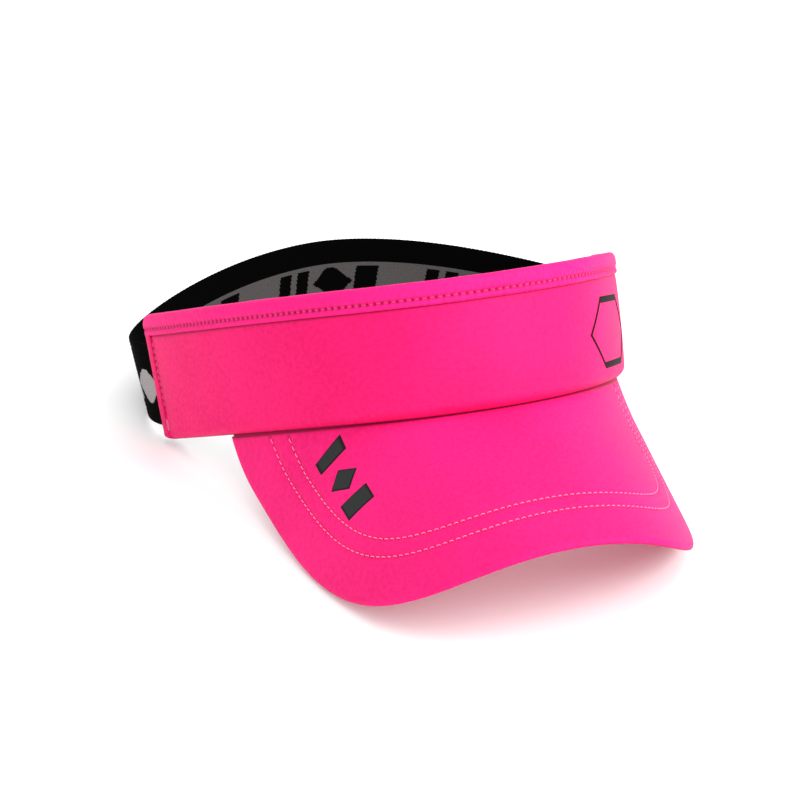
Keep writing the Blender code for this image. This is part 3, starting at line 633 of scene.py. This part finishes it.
def makeEndHem(side, name, node):
    curve, length = smoothCurve(np.array(hem["section"]) * mm, 64)
    normal = curveNormal(curve)
    rows = spaced(0.0, 40.0 * mm, 90, 0.3 * mm)
    u, v = np.meshgrid(length, rows, indexing="ij")
    share = v / rows[-1]
    fromEnd = np.broadcast_to(curve[:, :1], u.shape)
    inside = ease((np.broadcast_to(curve[:, 1:], u.shape) - 0.9 * mm) / (0.9 * mm))
    radius = hem["roll"] * ease(fromEnd / (4.2 * mm)) * (1.0 - inside) + 0.25 * mm
    rollShare = hem["rollShare"]
    turn = (1.0 - np.clip(share / rollShare, 0.0, 1.0)) * math.pi / 2.0 * 0.95
    low = endCorner(crownHalf - fromEnd) * (1.0 - inside) + hem["insideFoot"] * inside
    top = crownHeight(crownHalf - fromEnd) - binding["height"] + 2.0 * mm - 2.2 * mm * inside
    wall = np.clip((share - rollShare) / (1.0 - rollShare), 0.0, 1.0)
    ripple = 0.10 * mm * pucker(share * top, fromEnd - 5.0 * mm, 1.9 * mm)
    ripple = ripple * (1.0 - inside) + 0.07 * mm * unevenness(u, v, 31 + side, 0.012)

    def surface(inset):
        away = curve[:, :1] + normal[:, :1] * (ripple - inset)
        deep = curve[:, 1:] + normal[:, 1:] * (ripple - inset)
        height = low + radius + (top - low - radius) * wall - radius * np.sin(turn)
        return crownPoint(side * (crownHalf - away), height, deep + radius * (1.0 - np.cos(turn)))

    full = fullness(u, v, hem["thickness"])
    face, back = (surface(inset) for inset in faceDepths(full, hem["thickness"]))
    strip = makeSheet(name, face, back, pair(u, v), ["hem", "lining"])
    finish(strip, node)


sweat = {
    "foot": 0.7 * mm, "depth": 4.5 * mm, "thickness": 1.4 * mm, "topThickness": 0.8 * mm,
    "underBinding": 4.2 * mm, "endGap": 1.5 * mm, "swell": 0.7 * mm, "row": 3.4 * mm, "width": 34.0 * mm,
}


def makeSweatband():
    half = crownHalf - sweat["endGap"]
    along = spaced(-half, half, 420, 0.6 * mm)
    u, v = np.meshgrid(along, spaced(0.0, sweat["width"], 60, 0.6 * mm), indexing="ij")
    share = v / sweat["width"]
    top = crownHeight(u) - sweat["underBinding"]
    height = sweat["foot"] + (top - sweat["foot"]) * share
    tuck = ease((share - 0.80) / 0.2)
    thick = sweat["thickness"] + (sweat["topThickness"] - sweat["thickness"]) * tuck
    across = height - sweat["foot"] - sweat["row"]
    holeAndShade = hump(toHole(u, across), sewing["holeAndShade"])
    swell = sweat["swell"] * np.sin(math.pi * np.clip(share * 1.06, 0.0, 1.0)) ** 0.7
    swell += 0.22 * mm * unevenness(u, v, 41, 0.03) - 0.45 * mm * hump(across, 0.9 * mm) - 0.3 * mm * holeAndShade
    swell += 0.10 * mm * pucker(u, across, 1.8 * mm)
    swell *= 1.0 - 0.7 * tuck
    full = fullness(u, v, sweat["thickness"])
    depth = sweat["depth"] - 0.75 * mm * tuck
    outer, inner = faceDepths(full, thick)
    # the needle holes' mask goes in as the painted shade mark; the knit's material does not use it
    band = makeSheet("sweatbandPad", crownPoint(u, height, depth + inner + swell * full),
                     crownPoint(u, height, depth + outer), pair(u, v), ["sweatband"], {"paintedShade": holeAndShade})
    finish(band, "sweatband")
    print("sweatband made")


elastic = {
    "width": 29.0 * mm, "thickness": 1.2 * mm, "depth": 2.2 * mm, "startHeight": 4.4 * mm, "slope": 0.1,
    "rearRise": 25.7 * mm, "lean": 0.10, "tuck": 13.0 * mm, "ease": 16.0 * mm, "edge": 3.4 * mm,
    "blendStart": (0.0, 56.0 * mm, 25.0 * mm), "blendEnd": (0.0, 126.0 * mm, 25.0 * mm),
}


def elasticPoint(distance, height, depth):
    wrapped = np.where(distance > ringHalf, distance - 2.0 * ringHalf, distance)
    angle = ringAngle(wrapped)
    x, y = ringPoint(angle)
    nx, ny = ringNormal(angle)
    free = ease((np.abs(wrapped) - crownHalf) / elastic["ease"])
    back = np.maximum((y - crownEndY) / (ring["rearDepth"] - crownEndY), 0.0)
    base = elastic["startHeight"] + lowerEdge(crownEndY) + elastic["rearRise"] * back ** 2
    base = base + elastic["slope"] * np.maximum(y - crownEndY, 0.0)
    held = ring["lean"] * (base + height - lowerEdge(y) - crownHeight(wrapped) / 2.0) - elastic["depth"]
    out = held * (1.0 - free) + elastic["lean"] * (height - elastic["width"] / 2.0) * free - depth
    return np.stack([x + nx * out, y + ny * out, base + height], axis=-1)


def makeElastic():
    start = crownHalf - elastic["tuck"]
    span = 2.0 * (ringHalf - start)
    along = spaced(0.0, span, 430, 0.6 * mm)
    rows = spaced(0.0, elastic["width"], 64, 0.6 * mm)
    u, v = np.meshgrid(along, rows, indexing="ij")
    edge = np.minimum(v, elastic["width"] - v)
    # a thinner line parts the plain selvedge from the figured middle
    relief = 0.05 * mm * np.cos(2.0 * math.pi * v / (1.45 * mm))
    relief -= 0.16 * mm * hump(edge - elastic["edge"], 0.5 * mm)
    relief += 0.12 * mm * unevenness(u, 0.4 * v, 53, 0.06)
    scallop = 0.10 * mm * np.sin(2.0 * math.pi * u / (1.6 * mm)) * hump(edge, 0.5 * mm)
    full = fullness(u, v, elastic["thickness"])
    outer, inner = faceDepths(full, elastic["thickness"])
    height = v + scallop * np.sign(v - elastic["width"] / 2.0)
    band = makeSheet("elasticBack", elasticPoint(start + u, height, outer - relief * full),
                     elasticPoint(start + u, height, inner + relief * full), pair(u, v),
                     ["elasticOutside", "elasticInside"])
    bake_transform(band)
    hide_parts("elastic_band")
    print("elastic made,", round(span / mm, 1), "mm long")


# the bill: straight lines run forwards and down from the crown, over one arched section
bill = {
    "pitch": math.radians(35.3), "rootLift": 0.9 * mm, "sectionInset": 5.4 * mm, "rootInset": 4.0 * mm,
    "archHalf": 71.5 * mm, "taper": 1.6, "halfWidth": 87.6 * mm, "widestAt": 44.9 * mm,
    "reach": 86.1 * mm, "powers": (2.54, 2.98), "seamLift": -0.2 * mm, "seamSpread": 12.0 * mm,
    "cover": 0.5 * mm, "thickness": 2.5 * mm, "rimWidth": 2.0 * mm, "topDrop": 1.35 * mm,
    "underRise": 0.9 * mm, "underInset": 0.25 * mm,
    "rowInsets": (15.0 * mm, 21.0 * mm), "rowCorner": 5.0 * mm,
    "topTurn": 4.2 * mm, "underTurn": 4.9 * mm, "fillet": 0.4 * mm,
}


def billSection():
    width, depth = ring["halfWidth"] - bill["sectionInset"], ring["frontDepth"] - bill["sectionInset"]
    x = np.linspace(0.0, 1.5 * ring["halfWidth"], 521)
    held = np.minimum(x, bill["archHalf"])
    widthPower, depthPower = ring["frontPowers"]
    y = -depth * (1.0 - (held / width) ** widthPower) ** (1.0 / depthPower)
    z = lowerEdge(y) + bill["rootLift"]
    rise = -math.sin(bill["pitch"]) * y + math.cos(bill["pitch"]) * z
    last = int(np.searchsorted(x, bill["archHalf"])) - 1
    slope = (rise[last] - rise[last - 1]) / (x[last] - x[last - 1])
    rise = np.where(x > x[last], rise[last] + slope * (x - x[last]), rise)
    widths = np.concatenate([[0.0], np.cumsum(np.hypot(np.diff(x), np.diff(rise)))])
    along = -math.cos(bill["pitch"]) * y - math.sin(bill["pitch"]) * z
    return x, rise, widths, float(np.interp(bill["archHalf"], x, along))


sectionX, sectionRise, sectionWidth, billStart = billSection()


# a place on the bill's ruled surface from its flat pattern: across, along, height over its top face
def ruledPoint(width, along, height):
    x = np.sign(width) * np.interp(np.abs(width), sectionWidth, sectionX)
    rise = np.interp(np.abs(width), sectionWidth, sectionRise)
    slope = (np.interp(np.abs(width) + mm, sectionWidth, sectionRise)
             - np.interp(np.abs(width) - mm, sectionWidth, sectionRise)) / (2.0 * mm)
    slope = np.where(np.abs(width) < mm, 0.0, slope)
    up = rise + height * np.sqrt(np.maximum(1.0 - slope * slope, 0.0))
    side = -height * slope * np.sign(width)
    sine, cosine = math.sin(bill["pitch"]), math.cos(bill["pitch"])
    taper = 1.0 - bill["taper"] * (along - billStart)
    return np.stack([x * taper + side, -cosine * along - sine * up, -sine * along + cosine * up], axis=-1)


# how far along the pattern the bill passes under the crown, at an inset from its face
def billRoot(width, inset):
    low = np.full(np.broadcast(width, inset).shape, billStart - 40.0 * mm)
    high = low + 150.0 * mm
    for _ in range(40):
        middle = (low + high) / 2.0
        point = ruledPoint(width, middle, 0.0)
        across = np.abs(point[..., 0]) / (ring["halfWidth"] - inset)
        forward = np.abs(np.minimum(point[..., 1], 0.0)) / (ring["frontDepth"] - inset)
        within = across ** ring["frontPowers"][0] + forward ** ring["frontPowers"][1] < 1.0
        low, high = np.where(within, middle, low), np.where(within, high, middle)
    return (low + high) / 2.0


# the root on the pattern, how far it rises there to the crown's edge, and how slanting it lies
rootWidths = np.linspace(0.0, bill["halfWidth"], 121)
rootAlongs = billRoot(rootWidths, bill["rootInset"])
rootPlaces = ruledPoint(rootWidths, rootAlongs, 0.0)
rootRises = lowerEdge(rootPlaces[:, 1]) + bill["seamLift"] - rootPlaces[:, 2]
rootSlants = np.hypot(1.0, np.gradient(rootAlongs, rootWidths))


def fromRoot(width, along):
    side = np.abs(width)
    return (along - np.interp(side, rootWidths, rootAlongs)) / np.interp(side, rootWidths, rootSlants)


# a place on the bill, which sweeps up along its root to meet the crown's edge
def billPoint(width, along, height):
    away = np.clip(fromRoot(width, along) / bill["seamSpread"], 0.0, 1.0)
    point = ruledPoint(width, along, height)
    point[..., 2] += np.interp(np.abs(width), rootWidths, rootRises) * (1.0 - away) ** 2
    return point


def alongCurve(points, fraction):
    lengths = lengthsAlong(points)
    place = np.asarray(fraction) * lengths[-1]
    return pair(*(np.interp(place, lengths, points[:, k]) for k in range(2)))


# the bill's flat outline moved inwards, from one end of its root to the other
def insetOutline(inset, samples=1440):
    angle = np.linspace(math.pi + 0.75, -0.75, samples + 1)
    across = bill["halfWidth"] * signedPower(np.cos(angle), 2.0 / bill["powers"][0])
    ahead = bill["reach"] * signedPower(np.sin(angle), 2.0 / bill["powers"][1])
    points = pair(across, billStart + bill["widestAt"] + ahead)
    slopes = np.gradient(points, axis=0)
    inward = np.stack([slopes[:, 1], -slopes[:, 0]], axis=1)
    inward /= np.linalg.norm(inward, axis=1)[:, None]
    moved = points + inward * inset
    spread = np.linalg.norm(moved[:, None, :] - points[None, ::2, :], axis=2).min(axis=1)
    moved = moved[spread >= 0.998 * inset]
    beyond = np.nonzero(moved[:, 1] > billRoot(moved[:, 0], bill["rootInset"]))[0]
    return moved[beyond[0]:beyond[-1] + 1]


# round a curve's sharp turns by averaging over a reach to both sides
def soften(points, reach, steps=800):
    even = alongCurve(points, np.linspace(0.0, 1.0, steps + 1))
    window = max(int(reach / np.hypot(*(even[1] - even[0]))), 1)
    result = even.copy()
    for index in range(steps + 1):
        side = min(window, index, steps - index)
        result[index] = even[index - side:index + side + 1].mean(axis=0)
    return result


billRows = [soften(insetOutline(inset), bill["rowCorner"]) for inset in bill["rowInsets"]]


# how far a row's stitches run, as evenly spaced places along it
def rowPlaces(curve, perStep=1):
    count = int(0.992 * float(lengthsAlong(curve)[-1]) / sewing["pitch"]) * perStep
    return alongCurve(curve, 0.004 + 0.992 * np.arange(count + 1) / count)


# relief of the bill's top: grooves along the rows, holes, puckers and a little unevenness, and the painted
# shade in the needle holes
def billRelief(pattern, sewn, perStep=8):
    flat = pattern.reshape(-1, 2)
    relief = 0.12 * mm * unevenness(flat[:, 0], flat[:, 1], 61, 0.05)
    paintedShade = np.zeros(len(flat))
    for curve in billRows if sewn else ():
        dense = rowPlaces(curve, perStep)
        tree = kdtree.KDTree(len(dense))
        for index, (across, along) in enumerate(dense):
            tree.insert((across, along, 0.0), index)
        tree.balance()
        near = [tree.find((across, along, 0.0)) for across, along in flat]
        away = np.array([found[2] for found in near])
        phase = np.array([found[1] for found in near]) / perStep
        relief -= 0.24 * mm * hump(away, 0.9 * mm)
        relief += 0.06 * mm * np.cos(2.0 * math.pi * phase) * hump(away, 1.8 * mm)
        holeAndShade = hump(away, 0.4 * mm) * hump((phase + 0.5) % 1.0 - 0.5, 0.16)
        relief -= 0.2 * mm * holeAndShade
        # painted shade in the needle holes
        paintedShade = np.maximum(paintedShade, 0.5 * holeAndShade)
    return relief.reshape(pattern.shape[:-1]), paintedShade.reshape(pattern.shape[:-1])


# one cover of the bill: it turns up into the crown's seam at the root and round the rim at its edge
def makeCover(name, upper, columns, flatRows, look, node):
    turnRows, rimRows, step = 9, 9, 0.35 * mm
    rimDrop, trim, deepest = ((bill["topDrop"], 0.0, bill["topTurn"]) if upper
                              else (bill["underRise"], bill["underInset"], bill["underTurn"]))
    baseHeight, facing = (0.0, 1.0) if upper else (-bill["thickness"], -1.0)
    cover, fillet, rimWidth = bill["cover"], bill["fillet"], bill["rimWidth"]
    fractions = spaced(0.0004, 0.9996, columns, 0.004)
    rimTurns = np.linspace(0.0, math.pi / 2.0, rimRows + 1)
    rimCurves = [alongCurve(insetOutline(trim + rimWidth * (1.0 - math.sin(turn))), fractions)
                 for turn in rimTurns]
    edge = rimCurves[0]
    rootHalf = float(np.abs(insetOutline(trim + rimWidth)[0][0]))
    across = rootHalf * (2.0 * fractions - 1.0)
    start = deepest - fillet
    low = pair(across, billRoot(across, start))
    shares = np.linspace(0.0, 1.0, flatRows + 1)[1:]

    def surface(depth, relief):
        lines = []
        radius = fillet + (depth if upper else cover - depth)
        top = lowerEdge(ruledPoint(across, billRoot(across, deepest), 0.0)[:, 1]) + step
        for turn in np.linspace(math.pi / 2.0, 0.0, turnRows):
            lifted = billPoint(across, billRoot(across, start + radius * math.sin(turn)), baseHeight)
            lifted[:, 2] += fillet + (0.0 if upper else cover) - radius * math.cos(turn)
            if turn == math.pi / 2.0:
                wall = lifted.copy()
                wall[:, 2] = np.maximum(top, lifted[:, 2] + 0.1 * mm)
                lines.append(wall)
            lines.append(lifted)
        for share, lift in zip(shares, relief[:, turnRows + 1:].T):
            flat = low + (edge - low) * share
            lines.append(billPoint(flat[:, 0], flat[:, 1], baseHeight + facing * (lift - depth)))
        for curve, turn in zip(rimCurves[1:], rimTurns[1:]):
            moved = curve + (edge - curve) * depth / rimWidth
            height = -rimDrop + (rimDrop - depth) * math.cos(turn)
            lines.append(billPoint(moved[:, 0], moved[:, 1], baseHeight + facing * height))
        return np.stack(lines, axis=1)

    flat = low[:, None, :] + (edge - low)[:, None, :] * shares[None, :, None]
    up = np.arange(turnRows + 1, 0, -1)[None, :, None] * step
    behind = low[:, None, :] - up * np.array([0.0, 1.0])
    pattern = np.concatenate([behind, flat, np.stack(rimCurves[1:], axis=1)], axis=1)
    relief, paintedShade = billRelief(pattern, upper)
    sides = ease((fractions - fractions[0]) / 0.02) * ease((fractions[-1] - fractions) / 0.02)
    relief = relief * sides[:, None]
    if upper:
        # painted shade along the crease where the cover turns up into the seam
        beyond = fromRoot(pattern[..., 0], pattern[..., 1])
        paintedShade = np.maximum(paintedShade, 0.85 * (1.0 - ease((beyond - 0.1 * mm) / (0.9 * mm))))
    sheet = makeSheet(name, surface(0.0, relief), surface(cover, relief), pattern, [look, "lining"],
                      {"paintedShade": paintedShade})
    finish(sheet, node)
    rootLine = pair(across, billRoot(across, bill["rootInset"]))
    loop = np.concatenate([insetOutline(0.0), rootLine[::-1]])


# round threads along many short paths; up points out of the cloth
def threadTubes(paths, ups, radius, sides=6):
    slope = np.gradient(paths, axis=1)
    slope /= np.linalg.norm(slope, axis=2)[..., None]
    side = np.cross(slope, ups)
    side /= np.linalg.norm(side, axis=2)[..., None]
    up = np.cross(side, slope)
    angles = (np.arange(sides) * 2.0 * math.pi / sides)[None, None, :, None]
    count, steps = paths.shape[:2]
    taper = np.ones(steps)
    taper[0] = taper[-1] = sewing["endTaper"]
    spokes = side[:, :, None, :] * np.cos(angles) + up[:, :, None, :] * np.sin(angles)
    vertices = paths[:, :, None, :] + spokes * (radius * taper)[None, :, None, None]
    n, i, j = np.meshgrid(np.arange(count), np.arange(steps - 1), np.arange(sides), indexing="ij")
    corners = ((0, 0), (0, 1), (1, 1), (1, 0))
    faces = np.stack([(n * steps + i + a) * sides + (j + b) % sides for a, b in corners], axis=-1)
    flat = np.stack([pair((i + a) * 0.3 * mm, (j + b) * 0.25 * mm) for a, b in corners], axis=-2)
    firsts = np.arange(count)[:, None] * steps * sides + np.arange(sides)
    caps = np.stack([firsts[:, ::-1], firsts + (steps - 1) * sides], axis=1)
    return vertices.reshape(-1, 3), faces.reshape(-1, 4), flat.reshape(-1, 2), caps.reshape(-1, sides)


# stitches along a row: place(along, lift) gives points, along runs from start to start + length
def stitchRun(place, start, length, share=None, rise=0.30 * mm, sink=0.10 * mm, pitch=None):
    pitch = pitch or sewing["pitch"]
    share = share or sewing["share"]
    first = start + (np.arange(int(length / pitch)) + (1.0 - share) / 2.0) * pitch
    t = np.linspace(0.0, 1.0, 7)
    along = first[:, None] + t[None, :] * share * pitch
    lift = np.broadcast_to(rise * np.sin(math.pi * t) - sink, along.shape)
    paths = place(along, lift)
    return paths, place(along, lift + 0.5 * mm) - paths


def makeStitches(name, runs, look, node, radius=None):
    vertices, faces, caps, flat, base = [], [], [], [], 0
    for paths, ups in runs:
        points, quads, cloth, ends = threadTubes(paths, ups, radius or sewing["radius"])
        vertices.append(points)
        faces += (quads + base).tolist()
        caps += (ends + base).tolist()
        flat.append(cloth)
        base += len(points)
    flat.append(np.zeros((sum(len(cap) for cap in caps), 2)))
    obj = makeObject(name, np.concatenate(vertices), faces + caps, np.concatenate(flat), [look])
    finish(obj, node)


def makeBillStitches():
    for name, node, curve in (("billStitchOuter", "bill_stitch_outer", billRows[0]),
                              ("billStitchInner", "bill_stitch_inner", billRows[1])):
        used = rowPlaces(curve, 8)
        steps = lengthsAlong(used)
        pitch = steps[-1] / ((len(used) - 1) // 8)

        def place(along, lift, face=0.0, facing=1.0):
            across, ahead = (np.interp(along, steps, used[:, k]) for k in range(2))
            return billPoint(across, ahead, face + facing * lift)

        def below(along, lift):
            return place(along, lift, -bill["thickness"], -1.0)

        full = steps[-1] + 1e-9
        top = stitchRun(place, 0.0, full, sink=0.26 * mm, rise=0.38 * mm, pitch=pitch)
        under = stitchRun(below, 0.0, full, pitch=pitch)
        makeStitches(name, [top, under], "pinkThread", node)


# the first stitch of a row round the crown, so that the stitches fall between the needle holes
def firstStitch(margin):
    return math.ceil(-(crownHalf - margin) / sewing["pitch"]) * sewing["pitch"]


def makeCrownStitches():
    curve, normal, length, rows = bindingSection()
    sides = []
    first = firstStitch(3.2 * mm)
    for row in rows:
        height, depth = (float(np.interp(row, length, curve[:, k])) for k in range(2))
        upward, inward = (float(np.interp(row, length, normal[:, k])) for k in range(2))

        def place(along, lift):
            out = lift - binding["valley"] + 0.02 * mm
            return crownPoint(along, crownHeight(along) + height + upward * out, depth + inward * out)

        sides.append(stitchRun(place, first, -2.0 * first, share=0.54, rise=0.26 * mm, sink=0.14 * mm))
    makeStitches("bindingStitch", sides, "selfThread", "top_binding_stitch")

    def inside(along, lift):
        return crownPoint(along, sweat["foot"] + sweat["row"], sweat["depth"] + sweat["thickness"] + lift)

    first = firstStitch(4.0 * mm)
    makeStitches("sweatbandStitch", [stitchRun(inside, first, -2.0 * first, rise=0.4 * mm, sink=0.0)],
                 "darkThread", "sweatband_stitch")
    for side, name in ((1, "Left"), (-1, "Right")):
        distance = side * (crownHalf - sewing["endRow"])

        def upright(along, lift):
            return crownPoint(np.full(along.shape, distance), along, 0.22 * mm - lift)

        first = math.ceil(sewing["endRowFoot"] / sewing["pitch"]) * sewing["pitch"]
        top = float(crownHeight(np.array(distance))) - binding["height"]
        run = stitchRun(upright, first, top - first, rise=0.34 * mm, sink=0.12 * mm)
        makeStitches("endStitch" + name, [run], "beigeThread",
                     "end_stitch_" + name.lower())
        makeBartack(name, distance)
    print("stitches made")


bartack = {"foot": 3.4 * mm, "length": 3.8 * mm, "width": 1.2 * mm, "throws": 12, "radius": 0.2 * mm}


# the dense bar of thread that locks the end row: close slanting throws over two long ones
def makeBartack(name, distance):
    t = np.linspace(0.0, 1.0, 9)[None, :]
    throw = np.arange(bartack["throws"])[:, None]
    level = bartack["foot"] + bartack["length"] * (throw + 0.5) / bartack["throws"]
    across = distance + (t - 0.5) * bartack["width"] * np.where(throw % 2 == 0, 1.0, -1.0)
    height = level + (t - 0.5) * 0.4 * mm
    depth = 0.18 * mm - 0.32 * mm * np.sin(math.pi * t) + 0.0 * level
    paths = crownPoint(across, height, depth)
    ups = crownPoint(across, height, depth - 0.5 * mm) - paths
    upright = bartack["foot"] + bartack["length"] * (0.03 + 0.94 * t) + np.zeros((2, 1))
    aside = distance + np.array([[-0.35], [0.35]]) * mm + 0.0 * t
    under = crownPoint(aside, upright, 0.12 * mm - 0.1 * mm * np.sin(math.pi * t))
    underUps = crownPoint(aside, upright, -0.5 * mm + 0.0 * upright) - under
    makeStitches("bartack" + name, [(paths, ups), (under, underUps)], "beigeThread",
                 "bartack_" + name.lower(), bartack["radius"])


film = {"thickness": 0.2 * mm, "frontAt": (66.0 * mm, 16.5 * mm), "frontSize": (46.0 * mm, 23.0 * mm),
        "line": 0.95 * mm, "capLine": 2.1 * mm, "shoulder": 0.5, "sunk": 0.05 * mm}


def hexagon(tip, shoulder, half):
    return np.array([(tip, 0.0), (shoulder, half), (-shoulder, half), (-tip, 0.0), (-shoulder, -half),
                     (shoulder, -half)])


# an open hexagon on the wearer's left front: thin slanting lines, thicker level ones
def makeFrontEmblem(perSide=26):
    halfW, halfH = film["frontSize"][0] / 2.0, film["frontSize"][1] / 2.0
    shoulder = halfW * film["shoulder"]
    slope = halfH / (halfW - shoulder)
    inTip = halfW - film["line"] * math.hypot(1.0, slope) / slope
    inH = halfH - film["capLine"]
    share = np.arange(perSide)[:, None] / perSide
    loops = hexagon(halfW, shoulder, halfH), hexagon(inTip, inTip - inH / slope, inH)
    outer, inner = (np.concatenate([a + (b - a) * share for a, b in zip(loop, np.roll(loop, -1, axis=0))])
                    for loop in loops)
    across = np.array([0.0, 0.08, 0.3, 0.7, 0.92, 1.0])[None, :, None]
    flat = outer[:, None, :] * (1.0 - across) + inner[:, None, :] * across
    distance, height = film["frontAt"][0] + flat[..., 0], film["frontAt"][1] + flat[..., 1]
    wallLift = wallRelief(distance, height)[0]
    edge = np.minimum(across[..., 0], 1.0 - across[..., 0]) + 0.0 * distance
    raised = film["thickness"] * np.clip(edge / 0.08, 0.3, 1.0)
    mark = makeSheet("frontHexagon", crownPoint(distance, height, -wallLift - raised),
                     crownPoint(distance, height, film["sunk"] - wallLift), pair(distance, height),
                     ["blackFilm"], {"inward": edge * film["capLine"]}, looped=True)
    finish(mark, "front_emblem")


billMarks = {
    "start": (-56.2 * mm, 94.4 * mm), "step": 11.0 * mm, "half": (4.7 * mm, 5.8 * mm),
    "shapes": (("billBar", "bill_emblem_bar", ((-0.5, -1), (0.5, -1), (0.5, 1), (-0.5, 1))),
               ("billDiamond", "bill_emblem_diamond", ((0, -1), (1, 0), (0, 1), (-1, 0))),
               ("billBlock", "bill_emblem_block", ((-0.72, -1), (0.72, -1), (0.72, 1), (-0.72, 1)))),
}


def makeBillMarks():
    halfWidth, halfLength = billMarks["half"]
    t = spaced(0.0, 1.0, 16, 0.06)
    u, v = (share[..., None] for share in np.meshgrid(t, t, indexing="ij"))
    for number, (name, node, corners) in enumerate(billMarks["shapes"]):
        a, b, c, d = np.array(corners, float)
        local = a * (1 - u) * (1 - v) + b * u * (1 - v) + c * u * v + d * (1 - u) * v
        ahead = billMarks["start"][1] + number * billMarks["step"] + local[..., 0] * halfWidth
        pattern = pair(billMarks["start"][0] - local[..., 1] * halfLength, ahead)
        relief = billRelief(pattern, True)[0]
        edge = np.minimum(np.minimum(u, 1.0 - u), np.minimum(v, 1.0 - v))[..., 0]
        edge = edge * np.linalg.norm((b - a) * halfWidth)
        raised = relief + film["thickness"] * np.clip(edge / (0.25 * mm), 0.3, 1.0)
        mark = makeSheet(name, billPoint(pattern[..., 0], pattern[..., 1], raised),
                         billPoint(pattern[..., 0], pattern[..., 1], relief - film["sunk"]), pattern,
                         ["greyFilm"], {"inward": edge})
        finish(mark, node)
    print("films made")


def dressHidden():
    looks = {"crown_interlining": "foam", "bill_board": "board", "bill_seam_tape": "lining"}
    for node, look in looks.items():
        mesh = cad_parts[node].data
        mesh.materials.clear()
        mesh.materials.append(materials[look])


studio = {
    "lens": 80.603, "place": (-172.174 * mm, -523.788 * mm, 273.235 * mm),
    "azimuth": math.radians(17.312), "elevation": math.radians(24.797), "roll": math.radians(-1.281),
    "world": 1.0, "aim": (0.0, 0.0, 0.03),
    # name, place, size, watts
    "lamps": (("overhead", (0.25, -0.25, 1.5), 1.6, 9.0), ("rightFront", (0.85, -0.75, 0.75), 0.8, 13.0),
              ("lowFront", (-0.15, -1.3, 0.32), 0.9, 3.0)),
}


# sealed concrete painted pale: almost white with faint clouding of 60 mm
def paintedFloor():
    material, tree, shader = newMaterial("paintedFloor", {
        "Roughness": 0.85, "IOR": 1.5, "Specular IOR Level": 0.2})
    place = addNode(tree, "TexCoord")
    cloud = addNode(tree, "TexNoise", {"Scale": 16.0, "Detail": 3.0}, {0: place.outputs["Object"]})
    mixed = addNode(tree, "Mix", {"data_type": "RGBA", "clamp_factor": True, 6: hexColor("fbfbfb"),
                                  7: hexColor("ffffff")}, {0: cloud})
    tree.links.new(mixed.outputs[2], shader.inputs["Base Color"])
    return material


def makeStudio():
    bpy.ops.mesh.primitive_plane_add(size=12.0, location=(0.0, 0.0, -0.0004))
    floor = bpy.context.object
    floor.name = "studioFloor"
    floor.data.materials.append(paintedFloor())
    world = bpy.data.worlds.new("studioWorld")
    bpy.context.scene.world = world
    world.use_nodes = True
    background = world.node_tree.nodes["Background"]
    background.inputs["Color"].default_value = (1.0, 1.0, 1.0, 1.0)
    background.inputs["Strength"].default_value = studio["world"]
    for name, place, size, watts in studio["lamps"]:
        data = bpy.data.lights.new(name, "AREA")
        data.shape, data.size, data.energy = "DISK", size, watts
        lamp = bpy.data.objects.new(name, data)
        bpy.context.scene.collection.objects.link(lamp)
        lamp.location = place
        aim = Vector(studio["aim"]) - Vector(place)
        lamp.rotation_euler = aim.to_track_quat("-Z", "Y").to_euler()
    camera = bpy.data.objects.new("camera", bpy.data.cameras.new("camera"))
    bpy.context.scene.collection.objects.link(camera)
    camera.data.lens = studio["lens"]
    camera.data.sensor_width = 36.0
    turn = (Matrix.Rotation(-studio["azimuth"], 4, "Z")
            @ Matrix.Rotation(math.pi / 2.0 - studio["elevation"], 4, "X")
            @ Matrix.Rotation(studio["roll"], 4, "Z"))
    camera.matrix_world = Matrix.Translation(studio["place"]) @ turn
    bpy.context.scene.camera = camera
    bpy.context.scene.view_settings.view_transform = "Standard"
    print("studio made")


makeCrownPanel()
makeEndHem(1, "endHemLeft", "end_hem_left")
makeEndHem(-1, "endHemRight", "end_hem_right")
makeSweatband()
makeBinding()
makeElastic()
makeCover("billTop", True, 430, 210, "bill", "bill_top_cover")
makeCover("billUnder", False, 240, 60, "lining", "bill_under_cover")
makeBillStitches()
makeCrownStitches()
makeFrontEmblem()
makeBillMarks()
dressHidden()
makeStudio()
